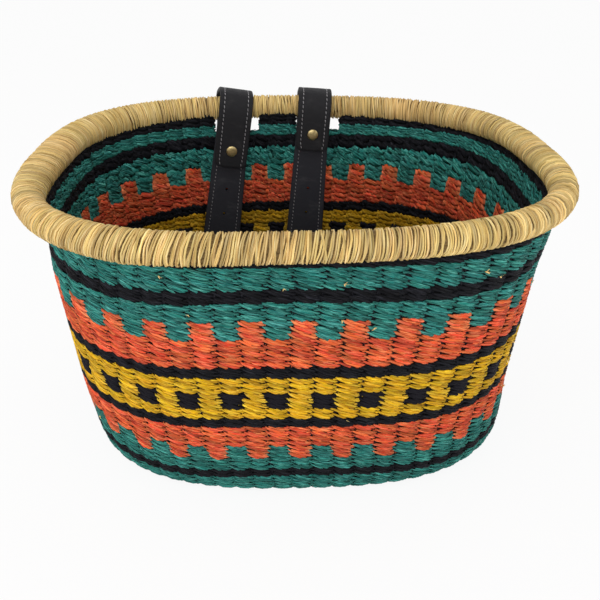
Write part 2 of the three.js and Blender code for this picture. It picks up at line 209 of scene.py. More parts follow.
# %% Oval and columns
RIM_HALF_WIDTH, RIM_HALF_DEPTH, RIM_HEIGHT = 185.5, 140.5, 221.5
OVAL_POWER = 2.78
WALL, WALL_TUCK, WALL_TAPER = 5.4, 3.0, 5.0
FOOT_IN, FOOT_HIGH = 10.0, 22.0
COLUMNS = 64
FRONT = -math.pi / 2
RING_STEPS = 5760
SLOTS = [(44.5, 0.5), (-34, -78)]  # along X, the right strap's slot and then the left one's


def oval(angle, inset):
    """Outline point in a direction: radius = ((|cos|/a)^p + (|sin|/b)^p)^(-1/p), drawn in by the inset."""
    across = np.abs(np.cos(angle)) / (RIM_HALF_WIDTH - inset)
    along = np.abs(np.sin(angle)) / (RIM_HALF_DEPTH - inset)
    reach = (across**OVAL_POWER + along**OVAL_POWER) ** (-1 / OVAL_POWER)
    return reach * np.cos(angle), reach * np.sin(angle)


def line_length(x, y):
    """Distance along a line at each of its points: the sum of the steps so far."""
    return np.concatenate([[0.0], np.cumsum(np.hypot(np.diff(x), np.diff(y)))])


ring_angle = np.linspace(FRONT, FRONT + 2 * math.pi, RING_STEPS + 1)
ring_share = line_length(*oval(ring_angle, 0.0))
RIM_LENGTH = ring_share[-1]
ring_share /= RIM_LENGTH


def column_angle(column):
    """Direction of a place counted in columns, by its share of the rim's length."""
    share = np.asarray(column) / COLUMNS
    turn = np.floor(share)
    return np.interp(share - turn, ring_share, ring_angle) + 2 * math.pi * turn


def back_depth(x, inset):
    """Distance along Y of the back of an oval at that x: b (1 - |x / a|^p)^(1/p)."""
    across = (abs(x) / (RIM_HALF_WIDTH - inset)) ** OVAL_POWER
    return (RIM_HALF_DEPTH - inset) * (1 - across) ** (1 / OVAL_POWER)


def back_column(x):
    """Column of the place on the back wall's outer face at that x."""
    bearing = math.atan2(back_depth(x, WALL_TUCK), x)
    return COLUMNS * float(np.interp(bearing, ring_angle, ring_share))


SLOT_SPANS = [(back_column(start), back_column(end)) for start, end in SLOTS]
print("rim length", round(RIM_LENGTH), "mm, slots at columns", np.round(SLOT_SPANS, 1).tolist())


# %% Section of the wall
FLOOR_STEPS, FOOT_STEPS, WALL_STEPS = 19, 60, 119
FLOOR_RUN, RIM_RUN = 40.0, 4.0  # how far the section starts before the foot and ends above the rim
FOOT_SKEW, SHOULDER_SKEW = 3.4, 3.2


def wall_section():
    """Inset and height along the middle of the wall: out along the floor, round the foot, up the wall."""
    sink = np.linspace(math.pi / 2, 0, FOOT_STEPS)
    foot_z = FOOT_HIGH - (FOOT_HIGH - WALL / 2) * np.sin(sink)
    foot_in = FOOT_IN - (FOOT_IN - WALL / 2) * np.cos(sink)
    floor_in = np.linspace(FOOT_IN + FLOOR_RUN, FOOT_IN, FLOOR_STEPS + 1)[:-1]
    wall_z = np.linspace(FOOT_HIGH, RIM_HEIGHT + RIM_RUN, WALL_STEPS + 1)[1:]
    height = np.concatenate([np.full(FLOOR_STEPS, WALL / 2), foot_z, wall_z])
    drawn = np.concatenate([floor_in, foot_in, np.full(WALL_STEPS, WALL / 2)])
    return drawn + WALL_TUCK + WALL_TAPER * (1 - height / RIM_HEIGHT), height


section_inset, section_height = wall_section()
section_climb = line_length(section_inset, section_height)
section_climb -= section_climb[FLOOR_STEPS]
section_out = np.gradient(section_height, section_climb)
section_up = np.gradient(section_inset, section_climb)


def climb_at(height):
    """Millimetres climbed from the floor's edge to a height."""
    return np.interp(height, section_height[FLOOR_STEPS:], section_climb[FLOOR_STEPS:])


def along_section(climb, values):
    """What the section's points have, at a place that many millimetres up."""
    return np.interp(climb, section_climb, values)


def ease(value, low, high):
    """0 below low, 1 above high, and 3s^2 - 2s^3 between."""
    s = np.clip((value - low) / (high - low), 0, 1)
    return s * s * (3 - 2 * s)


def skew(z):
    """How far the hand-made body stands to the right of the rim's middle at a height."""
    return FOOT_SKEW * ease(-z, -75, -8) + SHOULDER_SKEW * ease(z, 160, 204)


def on_wall(column, climb, lift):
    """Point of the wall: section place moved out along its normal by lift, on the oval of its inset."""
    inset = along_section(climb, section_inset) - lift * along_section(climb, section_out)
    z = along_section(climb, section_height) + lift * along_section(climb, section_up)
    x, y = oval(column_angle(column), inset)
    return np.stack(np.broadcast_arrays(x + skew(z), y, z), -1)


print("climb from floor to rim", round(float(climb_at(RIM_HEIGHT))), "mm")

# %% [markdown]
# ## Tubes
# A straw float, a stake, a stitch and a strap are all tubes: rings of points joined ring to
# ring. Bevelled curves would give them one by one. Instead, one function skins a whole batch from
# an array of tubes, rings and sides, so thousands of straws become one mesh. It also lays a UV
# map, in millimetres along and across each straw, which the fibre pattern follows.


# %% Skin tubes
def face_loops(grid):
    """Quads between neighbours of a grid of tubes, rings and sides, corner by corner."""
    return np.stack([grid[:, :-1, :-1], grid[:, :-1, 1:], grid[:, 1:, 1:], grid[:, 1:, :-1]], 3)


def signed_volume(points, quads):
    """Sum of a . (b x c) / 6 over the two triangles of every quad."""
    a, b, c, d = (points[quads[:, i]] for i in range(4))
    return float(np.sum(a * np.cross(b, c)) + np.sum(a * np.cross(c, d))) / 6


def tube_mesh(name, points, along, across, closed=False, straw=None):
    """Mesh of points[tube, ring, side], with a chart of along[tube, ring] and across[tube, side]."""
    count, rings, sides = points.shape[:3]
    grid = np.arange(count * rings * sides).reshape(count, rings, sides)
    grid = np.concatenate([grid, grid[:, :, :1]], 2)
    if closed:
        grid = np.concatenate([grid, grid[:, :1]], 1)
    flat = points.reshape(-1, 3)
    across = across if across.ndim == 3 else across[:, None, :]
    chart = np.stack(np.broadcast_arrays(along[:, :, None], across), -1)
    quads = face_loops(grid).reshape(-1, 4)
    corners = [quads.ravel()]
    charts = [face_loops(chart).reshape(-1, 2)]
    totals = [np.full(len(quads), 4)]
    if not closed:
        ends = np.stack([grid[:, 0, :sides][:, ::-1], grid[:, -1, :sides]], 1)
        end_chart = np.stack([chart[:, 0, :sides][:, ::-1], chart[:, -1, :sides]], 1)
        corners.append(ends.ravel())
        charts.append(end_chart.reshape(-1, 2))
        totals.append(np.full(2 * count, sides))
    corners, charts, totals = (np.concatenate(part) for part in (corners, charts, totals))
    if signed_volume(flat - flat.mean(0), quads) < 0:
        corners, charts, totals = corners[::-1], charts[::-1], totals[::-1]
    mesh = bpy.data.meshes.new(name)
    mesh.vertices.add(len(flat))
    mesh.vertices.foreach_set("co", (flat * MM).astype(np.float32).ravel())
    mesh.loops.add(len(corners))
    mesh.loops.foreach_set("vertex_index", corners.astype(np.int32))
    mesh.polygons.add(len(totals))
    mesh.polygons.foreach_set("loop_start", (np.cumsum(totals) - totals).astype(np.int32))
    mesh.update(calc_edges=True)
    mesh.polygons.foreach_set("use_smooth", np.ones(len(totals), bool))
    layer = mesh.uv_layers.new(name="strand")
    layer.data.foreach_set("uv", charts.astype(np.float32).ravel())
    if straw is not None:
        shade = mesh.attributes.new("straw", "FLOAT_COLOR", "POINT")
        marks = np.broadcast_to(straw, (*points.shape[:3], 4))
        shade.data.foreach_set("color", marks.astype(np.float32).ravel())
    return mesh


# %% Pieces
def add_piece(mesh, material, body, stands_for=()):
    """An object for a mesh, riding on a body and standing for the named solids."""
    mesh.materials.append(material)
    made = new_object(mesh.name, mesh)
    if body:
        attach(made, body)
    if stands_for:
        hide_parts(*stands_for)
    return made


# %% [markdown]
# ## Straw finish
# Dyed straw is a bundle of fine split stems. Up close it shows lengthwise streaks: bright ridges where the
# skin shines, drawn as a painted highlight, and dark lines between the stems, drawn as painted shade, with
# each float taking the dye a little differently and paler ends where it turns behind a stake. A picture of
# straw would repeat, so one node group draws all that from noise on the UV map and from a per-float
# attribute, and each dye uses it with its own colours.


# %% Fibre group
def new_group(name, inputs, outputs):
    """An empty shader node group with the named sockets, and its input and output nodes."""
    tree = bpy.data.node_groups.new(name, "ShaderNodeTree")
    for way, sockets in (("INPUT", inputs), ("OUTPUT", outputs)):
        for label, kind in sockets.items():
            tree.interface.new_socket(name=label, in_out=way, socket_type=kind)
    return tree, put(tree, "NodeGroupInput"), put(tree, "NodeGroupOutput")


def strand_chart(tree):
    """The piece's own UV map, in millimetres along and across."""
    return put(tree, "ShaderNodeUVMap", uv_map="strand").outputs[0]


def noise(tree, place, scale, detail, rough=0.5, **settings):
    """Cloudy noise at a place, from 0 to 1."""
    inputs = {"Vector": place, "Scale": scale, "Detail": detail, "Roughness": rough}
    return put(tree, "ShaderNodeTexNoise", inputs, **settings).outputs[0]


def streaks(tree, along, across):
    """Noise stretched by the scales along and across the straw."""
    scales = {"Vector": strand_chart(tree), "Scale": (along, across, 1)}
    place = put(tree, "ShaderNodeMapping", scales).outputs[0]
    return noise(tree, place, 1.0, 2.0, noise_dimensions="2D")


def fibre_group():
    """Streak noise, long along the straw and fine across it, mixes deep, dye and pale colours: painted shade
    between the stems, the dye, and painted highlights on the ridges.
    """
    colour, value = "NodeSocketColor", "NodeSocketFloat"
    inputs = {"Dye": colour, "Deep_shade": colour, "Pale_and_sheen": colour, "Dot": colour, "Tips": value}
    outputs = {"Color": colour, "Roughness": value, "Height": value}
    tree, given, out = new_group("straw_fibre", inputs, outputs)
    stems = streaks(tree, 0.035, 1.15)
    hairs = streaks(tree, 0.06, 2.5)
    mark = put(tree, "ShaderNodeAttribute", attribute_name="straw")
    parts = put(tree, "ShaderNodeSeparateColor", {0: mark.outputs["Color"]})
    body = ramp(tree, stems, 0.36, 0.54)
    bright = ramp(tree, hairs, 0.5, 0.68, 0.0, 0.8)
    tip = calculate(tree, "MULTIPLY", mark.outputs["Alpha"], given.outputs["Tips"])
    lit = calculate(tree, "MAXIMUM", bright, tip)
    # The deep colour is painted shade between the stems; the pale colour is a painted highlight on the ridges
    # and also gives the pale ends.
    base = blend_colour(tree, "MIX", body, given.outputs["Deep_shade"], given.outputs["Dye"])
    streaked = blend_colour(tree, "MIX", lit, base, given.outputs["Pale_and_sheen"])
    # The level carries each straw's own tone and its painted shade: floats are darker at the foot and low
    # down inside.
    level = ramp(tree, parts.outputs[0], 0, 1, 0.52, 1.38)
    hue = ramp(tree, parts.outputs[1], 0, 1, 0.495, 0.508)
    varied = put(tree, "ShaderNodeHueSaturation", {"Hue": hue, "Value": level, "Color": streaked}).outputs[0]
    dotted = blend_colour(tree, "MIX", parts.outputs[2], varied, given.outputs["Dot"])
    tree.links.new(dotted, out.inputs["Color"])
    tree.links.new(ramp(tree, stems, 0.3, 0.7, 0.75, 0.55), out.inputs["Roughness"])
    tree.links.new(calculate(tree, "ADD", stems, hairs), out.inputs["Height"])
    return tree


FIBRE = fibre_group()
print("fibre group with", len(FIBRE.nodes), "nodes")


# %% Straw finishes
def finish_material(tree, colour, roughness, height, distance, **constants):
    """Principled surface with linked colour, roughness and bump, and its constants on their sockets."""
    bump = put(tree, "ShaderNodeBump", {"Height": height, "Distance": distance * MM, "Strength": 1.0})
    inputs = {"Base Color": colour, "Roughness": roughness, "Normal": bump.outputs[0], **constants}
    skin = put(tree, "ShaderNodeBsdfPrincipled", inputs)
    put(tree, "ShaderNodeOutputMaterial", {"Surface": skin.outputs[0]})


# Of each straw: its dye, the deep colour between its stems (painted shade), its pale ridges (painted
# highlight) and how pale its ends are
DYES = {
    "green": ((0.014, 0.18, 0.15), (0.003, 0.032, 0.029), (0.15, 0.56, 0.48), 0.35),
    "black": ((0.004, 0.0044, 0.007), (0.0015, 0.0015, 0.002), (0.03, 0.03, 0.038), 0.3),
    "orange": ((0.82, 0.092, 0.03), (0.36, 0.028, 0.01), (1.0, 0.33, 0.15), 0.7),
    "yellow": ((0.72, 0.39, 0.004), (0.38, 0.165, 0.002), (0.95, 0.66, 0.08), 0.7),
    "natural": ((0.76, 0.525, 0.195), (0.42, 0.25, 0.075), (0.95, 0.78, 0.42), 0.2),
    # core: the rim's bundle, dark brown as painted shade in the gaps of the winding
    "core": ((0.28, 0.18, 0.068), (0.14, 0.083, 0.03), (0.4, 0.26, 0.11), 0.0),
}
DOT_COLOUR = (0.008, 0.007, 0.011)
STRAW_RELIEF, STRAW_SHINE = 0.35, 0.12


def straw_material(name, dye, deep, pale, tips):
    """Straw of one dye: the fibre group with its own colours, on a satin surface."""
    made, tree = blank_material(name)
    fibre = put(tree, "ShaderNodeGroup", node_tree=FIBRE)
    for label, rgb in (("Dye", dye), ("Deep_shade", deep), ("Pale_and_sheen", pale), ("Dot", DOT_COLOUR)):
        fibre.inputs[label].default_value = (*rgb, 1)
    fibre.inputs["Tips"].default_value = tips
    surface = (fibre.outputs[label] for label in ("Color", "Roughness", "Height"))
    finish_material(tree, *surface, STRAW_RELIEF, **{"Specular IOR Level": STRAW_SHINE})
    return made


STRAW = {dye: straw_material(f"straw_{dye}", *colours) for dye, colours in DYES.items()}
print("straw finishes", sorted(STRAW))

# %% [markdown]
# ## Rows of straw
# Twining works two strands along a row. In every column one strand runs outside the stakes and
# the other inside, and they change places at the column's edge with a half twist. What shows is
# a float one column long whose stems slant down to the right, with a small dark gap at each
# change. A bump map on a smooth band would lose those gaps and the rough edges, so each cell of
# the chart gets a float of four stems outside and another inside, in the colour of its band.

# %% Chart of the rows
# Band on even columns, band on odd columns, top of the course and rows in it
COURSES = [
    ("green_foot", "green_foot", 24.3, 6),
    ("black_foot", "black_foot", 32.2, 2),
    ("green_lower", "green_lower", 44.0, 3),
    ("orange_lower", "green_lower", 55.9, 3),
    ("orange_lower", "orange_lower", 75.3, 4),
    ("black_lower", "black_lower", 83.4, 2),
    ("yellow", "yellow", 120.3, 8),
    ("black_upper", "black_upper", 129.7, 2),
    ("orange_upper", "orange_upper", 153.0, 5),
    ("orange_upper", "green_upper", 168.0, 3),
    ("green_upper", "green_upper", 181.5, 3),
    ("black_shoulder", "black_shoulder", 191.0, 2),
    ("green_top", "green_top", 203.0, 4),
    ("black_top", "black_top", 216.5, 3),
]
SLOT_FROM = 195.0
rng = np.random.default_rng(11)  # the same draws at every run
# Dots: how far each dotted row of the yellow band widens its odd columns, by row from the bottom
DOT_ROWS = {2: 0.0, 3: -0.05, 4: 0.06}
BRIDGE = (SLOT_SPANS[0][1], SLOT_SPANS[1][0])
EDGE_SPREAD, WIDEN_SPREAD, SLANT_SPREAD = 0.028, 0.035, 0.1  # how unevenly the rows are laid by hand
LEAST_FLOAT = 0.22  # columns of a float that is cut short at a slot and still kept


def row_floats(even, odd, climb, pitch, widen, dotted, slotted, slant):
    """One row as a dict of arrays, one entry for each float outside the slots."""
    column = np.arange(COLUMNS)
    is_odd = column % 2 == 1
    edge = column - 0.5 + rng.normal(0, EDGE_SPREAD, COLUMNS) - widen * np.where(is_odd, 1, -1)
    start, end = edge, np.concatenate([edge[1:], edge[:1] + COLUMNS])
    band = np.where(is_odd, odd, even)
    mark = np.where(is_odd & dotted, "dot", band)
    change_before = mark != np.roll(mark, 1)
    change_after = mark != np.roll(mark, -1)
    if slotted:
        for low, high in SLOT_SPANS:
            start = np.where((start > low) & (start < high), high, start)
            end = np.where((end > low) & (end < high), low, end)
    keep = end - start > LEAST_FLOAT
    if even == "black_top":
        middle = (start + end) / 2
        band = np.where((middle > BRIDGE[0]) & (middle < BRIDGE[1]), "black_bridge", band)
    row = {"start": start, "end": end, "band": band, "dot": is_odd & dotted}
    row |= {"before": change_before, "after": change_after}
    for key, value in (("climb", climb), ("pitch", pitch), ("slant", slant)):
        row[key] = np.full(COLUMNS, value)
    return {key: value[keep] for key, value in row.items()}


def all_rows():
    """Every row of the chart from the foot up, its floats joined into one dict of arrays."""
    rows, low = [], 0.0
    for even, odd, top, count in COURSES:
        high = float(climb_at(top))
        pitch = (high - low) / count
        for index in range(count):
            climb = low + (index + 0.5) * pitch
            dotted = even == "yellow" and index in DOT_ROWS
            widen = DOT_ROWS[index] if dotted else rng.normal(0, WIDEN_SPREAD)
            slotted = climb > climb_at(SLOT_FROM)
            slant = rng.normal(1, SLANT_SPREAD)
            rows.append(row_floats(even, odd, climb, pitch, widen, dotted, slotted, slant))
        low = high
    return {key: np.concatenate([row[key] for row in rows]) for key in rows[0]}


floats = all_rows()
print("floats on the outside", len(floats["climb"]))

# %% Sway of the rows
WALL_CLIMB = float(climb_at(RIM_HEIGHT))


def sway(column, climb):
    """Slow rise and fall of rows laid by hand: three sines round the wall, none at floor and rim."""
    way = 2 * math.pi * column / COLUMNS
    fade = np.sin(math.pi * np.clip(climb / WALL_CLIMB, 0, 1))
    return fade * (0.5 * np.sin(2 * way + 3.3) + 0.45 * np.sin(5 * way + 2.1) + 0.35 * np.sin(11 * way + 4))


# Height and how far the rows dip there at the front corners
DIPS = np.array([
    (0, 3.0), (28, 7.0), (60, 4.0), (102, 2.6), (150, 4.2), (168, 5.6), (190, 6.0), (203, 2.5), (215, 1.5),
])
CORNER, CORNER_SPREAD, RIGHT_DIP = 7.0, 4.5, 0.75


def dip(front, z):
    """Rows sag towards both front corners: a bell round each corner, times the dip at that height."""
    bell = np.exp(-(((front + CORNER) / CORNER_SPREAD) ** 2))
    bell = bell + RIGHT_DIP * np.exp(-(((front - CORNER) / CORNER_SPREAD) ** 2))
    return bell * np.interp(z, DIPS[:, 0], DIPS[:, 1])


def lift_near_rim(front, z):
    """The upper rows climb: at the back by eased steps from 160 to 217 mm, at the front only near 203."""
    at_back = 6.5 * ease(z, 160, 188) - 2.3 * ease(z, 190, 203) - 2.7 * ease(z, 203, 217)
    at_front = 2.6 * (ease(z, 191, 203) - ease(z, 205, 217))
    share = ease(np.abs(front), 14, 24)
    return share * at_back + (1 - share) * at_front


def stray(front, z):
    """Columns wander at the front: a parabola in the column whose terms change from shoulder to foot."""
    low = np.clip((165 - z) / 115, 0, 1)
    bent = 0.06 - 0.16 * low + (0.006 - 0.056 * low) * front + (0.007 - 0.0035 * low) * front**2
    return bent * (1 - ease(np.abs(front), 8, 15))


def from_front(column):
    """Columns from the front middle, below zero to the left."""
    return (column + COLUMNS / 2) % COLUMNS - COLUMNS / 2


def on_swaying_wall(column, climb, lift):
    """Wall point with the rows' sway and dip in its climb and the stray in its column."""
    front, z = from_front(column), along_section(climb, section_height)
    laid = climb + sway(column, climb) - dip(front, z) + lift_near_rim(front, z)
    return on_wall(column + stray(front, z), laid, lift)


print("rows dip by up to", DIPS[:, 1].max(), "mm at the front corners")

# %% Stems of a float
def round_angles(sides):
    """Evenly spread angles round a tube."""
    return 2 * math.pi * np.arange(sides) / sides


# Stems of a float: where a stem starts and ends, each in columns across and pitches up from the
# row's middle, and its half width in pitches
FLOAT_STEMS = [
    ((-0.14, 0.34), (0.64, -0.54), 0.32), ((0.1, 0.46), (0.9, -0.46), 0.34),
    ((0.36, 0.54), (1.14, -0.34), 0.32), ((0.8, 0.42), (1.12, 0.1), 0.22),
]
STEM_STEPS = np.array([0.0, 0.07, 0.25, 0.75, 0.93, 1.0])
STEM_SIDES = 4
STEM_TURNS = math.pi / 2 + round_angles(STEM_SIDES)
BLUNT = 6  # power of a stem's taper: the higher, the blunter its tips
TIP_HALF_THICK, MORE_HALF_THICK = 0.2, 0.32  # half thickness at a tip, and what the middle adds
FALL = 0.2  # pitches that a float falls over its column
SEAM_WIDE = 0.52  # share of a stem's width that is left at the edge of its column
SEAM_FROM, SEAM_TO = -0.06, 0.24  # columns from that edge over which a stem widens
INNER_SLANT, INNER_WIDE, INNER_THICK = 0.8, 1.8, 0.45  # floats inside: less slant, wider and flatter
ARCH_LIFT = 2.05  # millimetres that a float stands off the middle of the wall
ARCH_REACH, ARCH_POWER = 1.2, 3.5  # columns that a float arches over, and how squarely


def stem_points(surface, row, side, stem):
    """Blunt tubes: body = 1 - |2u - 1|^blunt from tip to tip, arched by 1 - (|2t - 1| / reach)^power."""
    (begin, high), (stop, low), half = stem
    count = len(row["climb"])

    def vary(spread):
        return rng.normal(1, spread, count)[:, None, None]

    keys = ("start", "end", "climb", "pitch", "slant")
    start, end, climb, pitch, slant = (row[key][:, None, None] for key in keys)
    slant = slant if side > 0 else INNER_SLANT * slant
    u = STEM_STEPS[None, :, None]
    turn = side * STEM_TURNS[None, None, :]
    t = begin + (stop - begin) * u + 0.03 * (vary(1) - 1)
    body = 1 - np.abs(2 * u - 1) ** BLUNT
    arch = 1 - np.clip(np.abs(2 * t - 1) / ARCH_REACH, 0, 1) ** ARCH_POWER
    fall = (high + (low - high) * u) * slant + FALL * slant * vary(0.3) * (0.5 - t)
    middle = climb + pitch * (side * fall + 0.035 * (vary(1) - 1) - (0.5 if side < 0 else 0.0))
    edge = ease(0.5 - np.abs(t - 0.5), SEAM_FROM, SEAM_TO)
    half = half * (SEAM_WIDE + (1 - SEAM_WIDE) * edge) if side > 0 else INNER_WIDE * half
    half_wide = pitch * (0.03 + half * vary(0.1) * body)
    half_thick = (TIP_HALF_THICK + MORE_HALF_THICK * body) * (1 if side > 0 else INNER_THICK)
    lift = side * (ARCH_LIFT * arch * (0.74 + 0.26 * body) - 0.2) * vary(0.04)
    lift = lift + half_thick * np.sin(turn)
    return surface(start + (end - start) * t, middle + half_wide * np.cos(turn), lift)


print("stems in a float", len(FLOAT_STEMS), "with", len(STEM_STEPS), "rings of", STEM_SIDES)

# %% Marks and charts of stems
STEM_GIRTH = 8.0  # millimetres of chart round a stem
FIBRE_TURN = 0.1  # millimetres that the fibres turn round a stem for each along it
LEVEL_SPREAD = 0.16
SAME_COLOUR = 0.2  # how pale ends are beside the same colour, against 1 at a change


def level_with_painted_shade(climb, side):
    """Mean dye level with painted shade: a little darker at the foot outside, where less light falls, and
    much darker low down inside, where the basket shades itself.
    """
    if side > 0:
        return 0.4 + 0.1 * ease(climb, 35, 85)
    return 0.1 + 0.42 * ease(climb, 60, 215)


def stem_marks(row, side, stem):
    """Attribute of each stem: dye level with painted shade, hue, dot, and how pale its ends are, most at a
    colour change.
    """
    (begin, _), (stop, _), _ = stem
    count = len(row["climb"])
    t = begin + (stop - begin) * STEM_STEPS[None, :]
    shade = level_with_painted_shade(row["climb"], side)
    level = np.clip(rng.normal(shade, LEVEL_SPREAD, count), 0, 1)[:, None]
    hue = (rng.random(count) * 2 * shade)[:, None]
    early = ease(-t, -0.24, 0.05) * np.where(row["before"], 1.0, SAME_COLOUR)[:, None]
    late = ease(t, 0.76, 1.05) * np.where(row["after"], 1.0, SAME_COLOUR)[:, None]
    fields = np.broadcast_arrays(level, hue, row["dot"].astype(float)[:, None], np.maximum(early, late))
    return np.stack(fields, -1)[:, :, None, :]


def straw_charts(count, rings, sides, length, girth, turn=0.0):
    """UV in mm: along from ring to ring, across from side to side, each straw on its own patch."""
    along = np.broadcast_to(rings, (count, len(rings))) * length + 900 * rng.random((count, 1))
    across = np.linspace(0, girth, sides + 1)[None, None, :] + 900 * rng.random((count, 1, 1))
    return along, across + turn * length * np.asarray(rings)[None, :, None]


def straw_piece(name, batches, length, dye, stands_for):
    """One piece from batches of stems: their points, their marks and a chart for each."""
    points = np.concatenate([batch[0] for batch in batches])
    marks = np.concatenate([batch[1] for batch in batches])
    along, across = straw_charts(len(points), STEM_STEPS, STEM_SIDES, length, STEM_GIRTH, FIBRE_TURN)
    mesh = tube_mesh(name, points, along, across, straw=marks)
    return add_piece(mesh, STRAW[dye], "basket", stands_for)


# %% Weave the bands
WALL_FLOAT = 16.0  # millimetres of chart along a stem


def weave_band(band):
    """All floats of one band, outside and inside, as one piece that stands for the band's solid."""
    mine = floats["band"] == band
    row = {key: value[mine] for key, value in floats.items()}
    batches = [
        (stem_points(on_swaying_wall, row, side, stem), stem_marks(row, side, stem))
        for side in (1.0, -1.0)
        for stem in FLOAT_STEMS
    ]
    return straw_piece(f"weave_{band}", batches, WALL_FLOAT, band.split("_")[0], [f"band_{band}"])


bands = sorted(set(floats["band"].tolist()))
woven = [weave_band(band) for band in bands]
print("woven bands", len(woven), "with", sum(len(o.data.polygons) for o in woven), "faces")

# %% [markdown]
# ## Floor and stakes
# The floor is the same twining in ever smaller ovals round a straight middle, with fewer columns towards it,
# so the floats of the wall serve again, laid flat. The stakes rise between the two strands of every row and
# end in the rim; they take the black straw as painted shade, so they show only as dark gaps, where they close
# the wall.

# %% Twined floor
FLOOR_INSET = WALL_TUCK + WALL_TAPER + FOOT_IN
FLOOR_PITCH = 4.5
FLOOR_PAIR, LEAST_COLUMNS = 30.0, 8  # millimetres of two columns, and the fewest columns in a row
FLOOR_SPREAD, FLOOR_MIDDLE, FLOOR_FLOAT = 0.03, 2.5, 14.0
SINGLE = ((-0.12, 0.0), (1.12, 0.0), 0.58)  # one broad stem a float, as in the list above


def floor_ring(inset, steps=2400):
    """Length along one oval of the floor, at evenly spread values of its own parameter."""
    way = np.linspace(0, 2 * math.pi, steps + 1)
    return way, line_length(*floor_oval(way, inset))


def floor_oval(way, inset):
    """Superellipse by parameter: x = a sign(cos)|cos|^(2/p), y = b sign(sin)|sin|^(2/p)."""
    power = 2 / OVAL_POWER
    x = (RIM_HALF_WIDTH - inset) * np.sign(np.cos(way)) * np.abs(np.cos(way)) ** power
    y = (RIM_HALF_DEPTH - inset) * np.sign(np.sin(way)) * np.abs(np.sin(way)) ** power
    return x, y


def floor_row(inset):
    """One oval row: the floats of the wall laid flat, outside being the underside."""
    way, length = floor_ring(inset)
    count = max(LEAST_COLUMNS, 2 * round(length[-1] / FLOOR_PAIR))
    start = np.arange(count) + rng.normal(0, FLOOR_SPREAD, count)

    def on_floor(place, outwards, lift):
        bend = np.interp(place / count % 1 * length[-1], length, way)
        x, y = floor_oval(bend, inset - outwards)
        return np.stack(np.broadcast_arrays(x + FOOT_SKEW, y, WALL / 2 - lift), -1)

    none = np.zeros(count, bool)
    row = {"start": start, "end": start + 1, "climb": np.zeros(count), "pitch": np.full(count, FLOOR_PITCH)}
    row |= {"slant": np.ones(count), "dot": none, "before": none, "after": none}
    return [(stem_points(on_floor, row, side, SINGLE), stem_marks(row, side, SINGLE)) for side in (1.0, -1.0)]


insets = np.arange(FLOOR_INSET + FLOOR_PITCH / 2, RIM_HALF_DEPTH - FLOOR_MIDDLE, FLOOR_PITCH)
floor_stems = [batch for inset in insets for batch in floor_row(inset)]
mat = straw_piece("weave_floor", floor_stems, FLOOR_FLOAT, "green", ["floor_mat"])
print("floor rows", len(insets), "with", len(mat.data.polygons), "faces")

# %% Stakes
STAKES_EACH = 4  # in a column
STAKES = STAKES_EACH * COLUMNS
STAKE_HALF_WIDE, STAKE_HALF_THICK = 2.5, 0.6
STAKE_STEPS, STAKE_SIDES = np.linspace(0, 1, 24), 6
STAKE_FOOT, STAKE_SHORT = -4.0, 2.0  # where stakes start up the section, and how far short they end


def upright_stakes():
    """Flat rods up the middle of the wall, four to a column, cut off below the slots."""
    column = np.arange(STAKES) / STAKES_EACH - 0.5
    top = np.full(STAKES, WALL_CLIMB - STAKE_SHORT)
    for low, high in SLOT_SPANS:
        top[(column > low - 0.1) & (column < high + 0.1)] = climb_at(SLOT_FROM + 4)
    climb = STAKE_FOOT + (top[:, None, None] - STAKE_FOOT) * STAKE_STEPS[None, :, None]
    turn = round_angles(STAKE_SIDES)[None, None, :]
    sideways = STAKE_HALF_WIDE * np.cos(turn) * COLUMNS / RIM_LENGTH
    points = on_wall(column[:, None, None] + sideways, climb, STAKE_HALF_THICK * np.sin(turn))
    along, across = straw_charts(STAKES, STAKE_STEPS, STAKE_SIDES, 230.0, 7.0)
    # The stakes are black straw as painted shade: they show only in the gaps, which should look dark.
    mesh = tube_mesh("upright_stakes", points, along, across, straw=(0.4, 0.5, 0.0, 0.0))
    return add_piece(mesh, STRAW["black"], "basket")


stakes = upright_stakes()
print("stakes", STAKES, "with", len(stakes.data.polygons), "faces")

# %% [markdown]
# ## Loose ends
# Where a strand runs out, its cut end stands out of the rows as a few short pale hairs. Hair
# particles would do it, but there are only some sixty tufts and the plainest ones have their
# places, so they are thin tubes like the rest.

# %% Loose ends
# Columns from the front middle and heights of the tufts that show most
TUFTS = [
    (-5.3, 197), (-4.2, 169.5), (1.35, 193.5), (1.5, 167), (2.7, 158.5), (-0.8, 191), (6.75, 193),
    (7.6, 186), (2, 80),
]
MORE_TUFTS, HAIRS = 50, 3
HAIR_STEPS, HAIR_HALF = np.array([0.0, 0.35, 0.75, 1.0]), 0.48
SIDE_COLUMNS, TUFT_HEIGHTS = (10, 54), (40, 205)  # where the others are, away from the front


